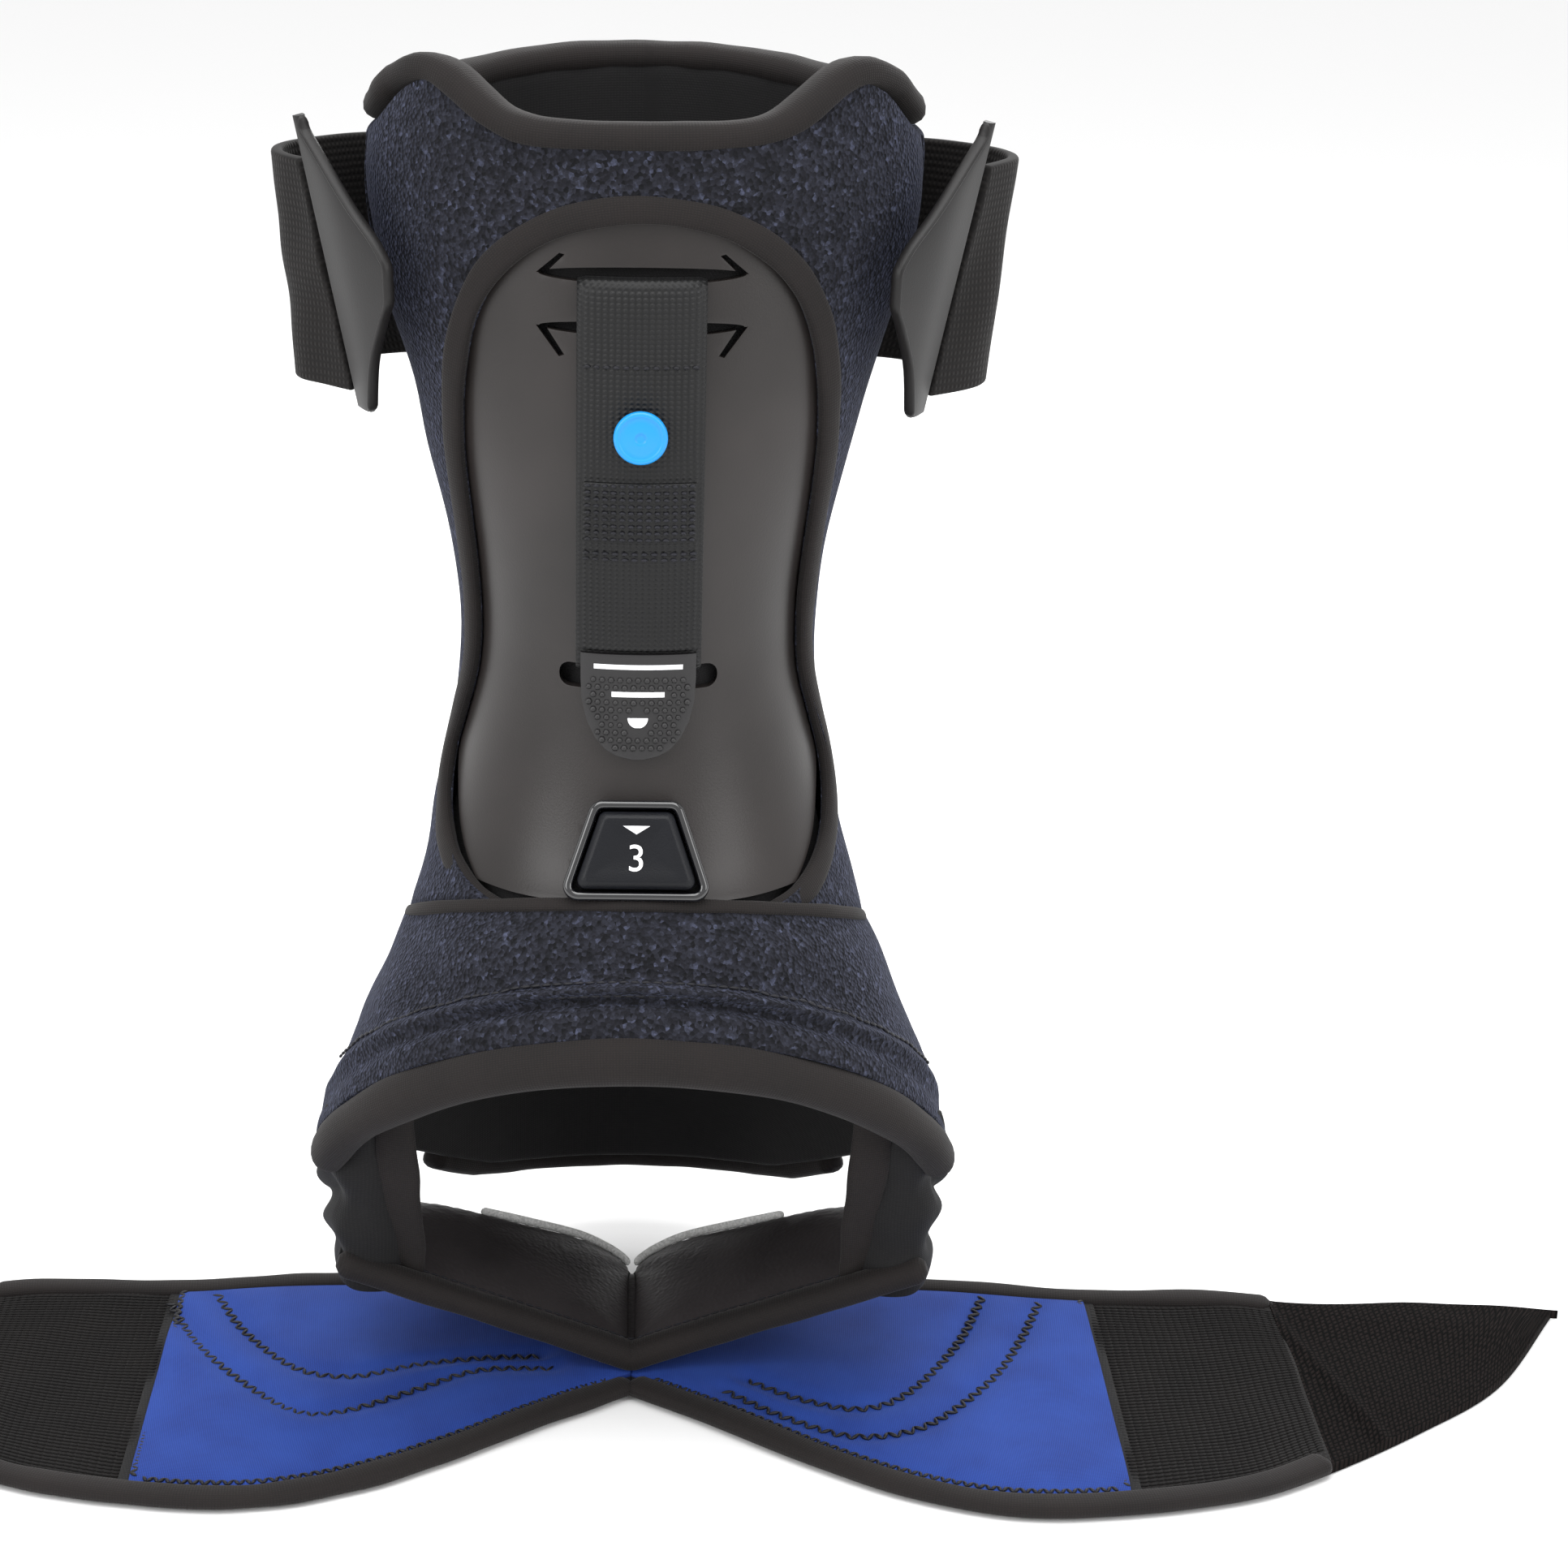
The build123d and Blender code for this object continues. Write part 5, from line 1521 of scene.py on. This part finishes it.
# %% Padded straps, linings and near bindings
for side, label in ((1, "right"), (-1, "left")):
    flip = np.array([side, 1, 1])
    quilts = QUILTS[label]
    flat = plan_strip(0, 125, 150, 62, 4.5, 0.8)
    pad = lay_flat(f"wrap_{label}_pad", flat, 2.9, 0.1, LINER, side, 0.7)
    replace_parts(pad, f"wing_pad_{label}", *(["wing_root_pad"] if side > 0 else []))
    fold_up(pad)
    flat = plan_strip(0, 122, 170, 90, 6.2, 6.5)
    edge = np.minimum(np.linspace(0, 1, 90), np.linspace(1, 0, 90))[:, None] * 90
    puff = 1.3 * (1 - np.exp(-edge / 4)) * (1 - groove(flat, quilts, 3.4))
    far = np.clip(1 - np.abs(flat[..., 1] - 8) / 12, 0, 1)
    rise = uneven(np.dstack([flat, flat[..., :1] * 0]), 40, 80 + side) * 0.35 * (1 - far)
    blue = lay_flat(f"wrap_{label}_lining", flat, 3.5 + puff + rise, 2.6, JERSEY, side, 0.4)
    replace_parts(blue, f"wing_lining_{label}",
                        *(["wing_root_lining"] if side > 0 else []))
    fold_up(blue)
    near = near_edge[near_edge[:, 0] < 173]
    run = np.stack([near[:, 0], near[:, 1] + 3.2, np.full(len(near), 2.4)], -1)
    run = even_steps(run, 170, smooth=False) * flip
    tape = roll(f"wrap_{label}_near_tape", run, np.tile(Z, (170, 1)), oval(7.4, 4.2, 16), BINDING,
                swell=1 + 0.05 * uneven(run, 18, 90 + side), taper=True)
    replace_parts(tape, f"wing_binding_{label}",
                        *(["wing_root_binding"] if side > 0 else []))
    fold_up(tape)
    far = far_edge[(far_edge[:, 0] < 173) & (far_edge[:, 0] > 60)]
    run = np.stack([far[:, 0], far[:, 1] - 3.2, np.full(len(far), 2.4)], -1)
    run = even_steps(run, 90, smooth=False) * flip
    tape = roll(f"wrap_{label}_far_tape", run, np.tile(Z, (90, 1)), oval(6.6, 4.0, 16), BINDING,
                swell=1 + 0.05 * uneven(run, 18, 95 + side))
    fold_up(tape)
    print("strap", label, [round(x, 3) for x in blue.dimensions])

# %% [markdown]
# The quilting is a pair of zigzag seams that follow each other round the strap, and a third zigzag
# sews the lining to the binding. Each stitch starts and ends on the lining's own height.

# %% Quilting and edge seams
for side, label in ((1, "right"), (-1, "left")):
    flip = np.array([side, 1, 1])
    sewing = []
    for line in QUILTS[label]:
        run = np.column_stack([even_steps(line, 260), np.full(260, 3.72)]) * flip
        sewing.append(zigzag_line(run, np.tile(Z, (260, 1)), 1.9, 2.9))
    near = near_edge[(near_edge[:, 0] < 119) & (near_edge[:, 0] > 6)]
    run = np.column_stack([near[:, 0], near[:, 1] + 7.3, np.full(len(near), 3.95)]) * flip
    sewing.append(zigzag_line(even_steps(run, 300, smooth=False), np.tile(Z, (300, 1)), 1.4, 2.0))
    cross = plan_strip(121, 121, 2, 60, 8, 7)[:, 0]
    run = np.column_stack([cross, np.full(60, 4.0)]) * flip
    sewing.append(zigzag_line(run, np.tile(Z, (60, 1)), 1.4, 2.0))
    seams = put_stitches(f"wrap_{label}_seams", sewing, 0.48)
    fold_up(seams)
print("seams", sum(len(a) for a, b in sewing), "stitches on one strap")

# %% [markdown]
# Beyond the lining the strap is knitted elastic, whose ribs run along its length, and then the hook
# tab, a moulded mesh with a raised fold line and a thin welded edge. The ribs come from the stitch
# tree, with long edges laid side by side, so that they catch the light as real ribs do.

# %% Elastic and hook tabs
for side, label in ((1, "right"), (-1, "left")):
    flip = np.array([side, 1, 1])
    flat = plan_strip(121, 174, 70, 60, 2.0, 0.8)
    swell = 0.35 * uneven(np.dstack([flat, flat[..., :1] * 0]), 22, 100 + side)
    stretch = lay_flat(f"wrap_{label}_elastic", flat, 2.5 + swell, 0.1, ELASTIC, side, 0.6)
    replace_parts(stretch, f"wing_elastic_{label}")
    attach(stretch, f"wrap_{label}")
    sewing = []
    rows = plan_strip(123, 173, 26, 62, 7.0, 6.5)
    for r in range(1, 61):
        run = np.column_stack([rows[r], np.full(26, 2.62)])
        run[:, 2] += 0.35 * uneven(np.column_stack([rows[r], np.zeros(26)]), 22, 100 + side)
        sewing.append((run[:-1] * flip, run[1:] * flip))
    ribs = put_stitches(f"wrap_{label}_elastic_ribs", sewing, 0.42, ELASTIC, 1.04)
    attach(ribs, f"wrap_{label}")
    flat = plan_strip(172.6, 250.6, 90, 40, 1.0, 0.6)
    x = flat[..., 0]
    fold = 1.3 * np.exp(-((x - 181 + 0.28 * (flat[..., 1] + 40)) / 2.2) ** 2)
    swell = 0.5 * uneven(np.dstack([flat, flat[..., :1] * 0]), 30, 110 + side) \
        * np.clip((250 - x) / 30, 0, 1)
    hook = lay_flat(f"wrap_{label}_hook_tab", flat, 2.3 + swell + fold, 0.0, HOOK, side, 0.5)
    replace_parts(hook, f"wing_hook_tab_{label}")
    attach(hook, f"wrap_{label}")
print("elastic", len(ribs.data.polygons), "faces")

# %% [markdown]
# The object stands on a pale floor under soft studio light: a large overhead softbox, a weaker one
# from the left and a rim light behind, over an even pale surround. The camera looks slightly down
# at the front, as a catalogue picture would, with a long lens so that the verticals stay straight.

# %% Floor, lights and camera
bpy.ops.mesh.primitive_plane_add(size=8, location=(0, 0, -0.0004))
floor = bpy.context.object
floor.name = "floor"
floor.data.materials.append(new_material("studio_paper_white", Roughness=0.9,
                                         Base_Color=srgb("#f4f4f4"))[0])
world = bpy.data.worlds.new("studio")
bpy.context.scene.world = world
world.use_nodes = True
world.node_tree.nodes["Background"].inputs["Color"].default_value = srgb("#ffffff")
world.node_tree.nodes["Background"].inputs["Strength"].default_value = 1.0


def softbox(name, place, aim, wide, tall, watts, tint="#ffffff"):
    """A rectangular area light that faces a point."""
    data = bpy.data.lights.new(name, "AREA")
    data.shape, data.size, data.size_y, data.energy = "RECTANGLE", wide, tall, watts
    data.color = srgb(tint)[:3]
    lamp = add_object(name, data)
    lamp.location = place
    lamp.rotation_euler = (Vector(aim) - Vector(place)).to_track_quat("-Z", "Y").to_euler()
    return lamp


softbox("overhead_softbox", (0.0, -0.35, 1.35), (0, 0, 0.12), 1.3, 1.0, 16)
softbox("left_softbox", (-1.1, -0.9, 0.8), (0, 0, 0.15), 0.7, 0.9, 9)
softbox("right_softbox", (1.1, -0.8, 0.7), (0, 0, 0.15), 0.6, 0.9, 6)
softbox("rear_rim_light", (0.3, 1.0, 0.9), (0, 0, 0.2), 0.9, 0.5, 8)
camera = add_object("camera", bpy.data.cameras.new("camera"))
camera.location = (0, -0.760, 0.430)
camera.rotation_euler = (Vector((0, 0, 0.150)) - camera.location).to_track_quat(
    "-Z", "Y").to_euler()
camera.rotation_euler.rotate_axis("Z", math.radians(0.6))
camera.data.lens, camera.data.sensor_width = 72.75, 36
camera.data.shift_x = 0.0937
bpy.context.scene.camera = camera
bpy.context.scene.view_settings.view_transform = "Standard"

# %% Finish
print("scene built")
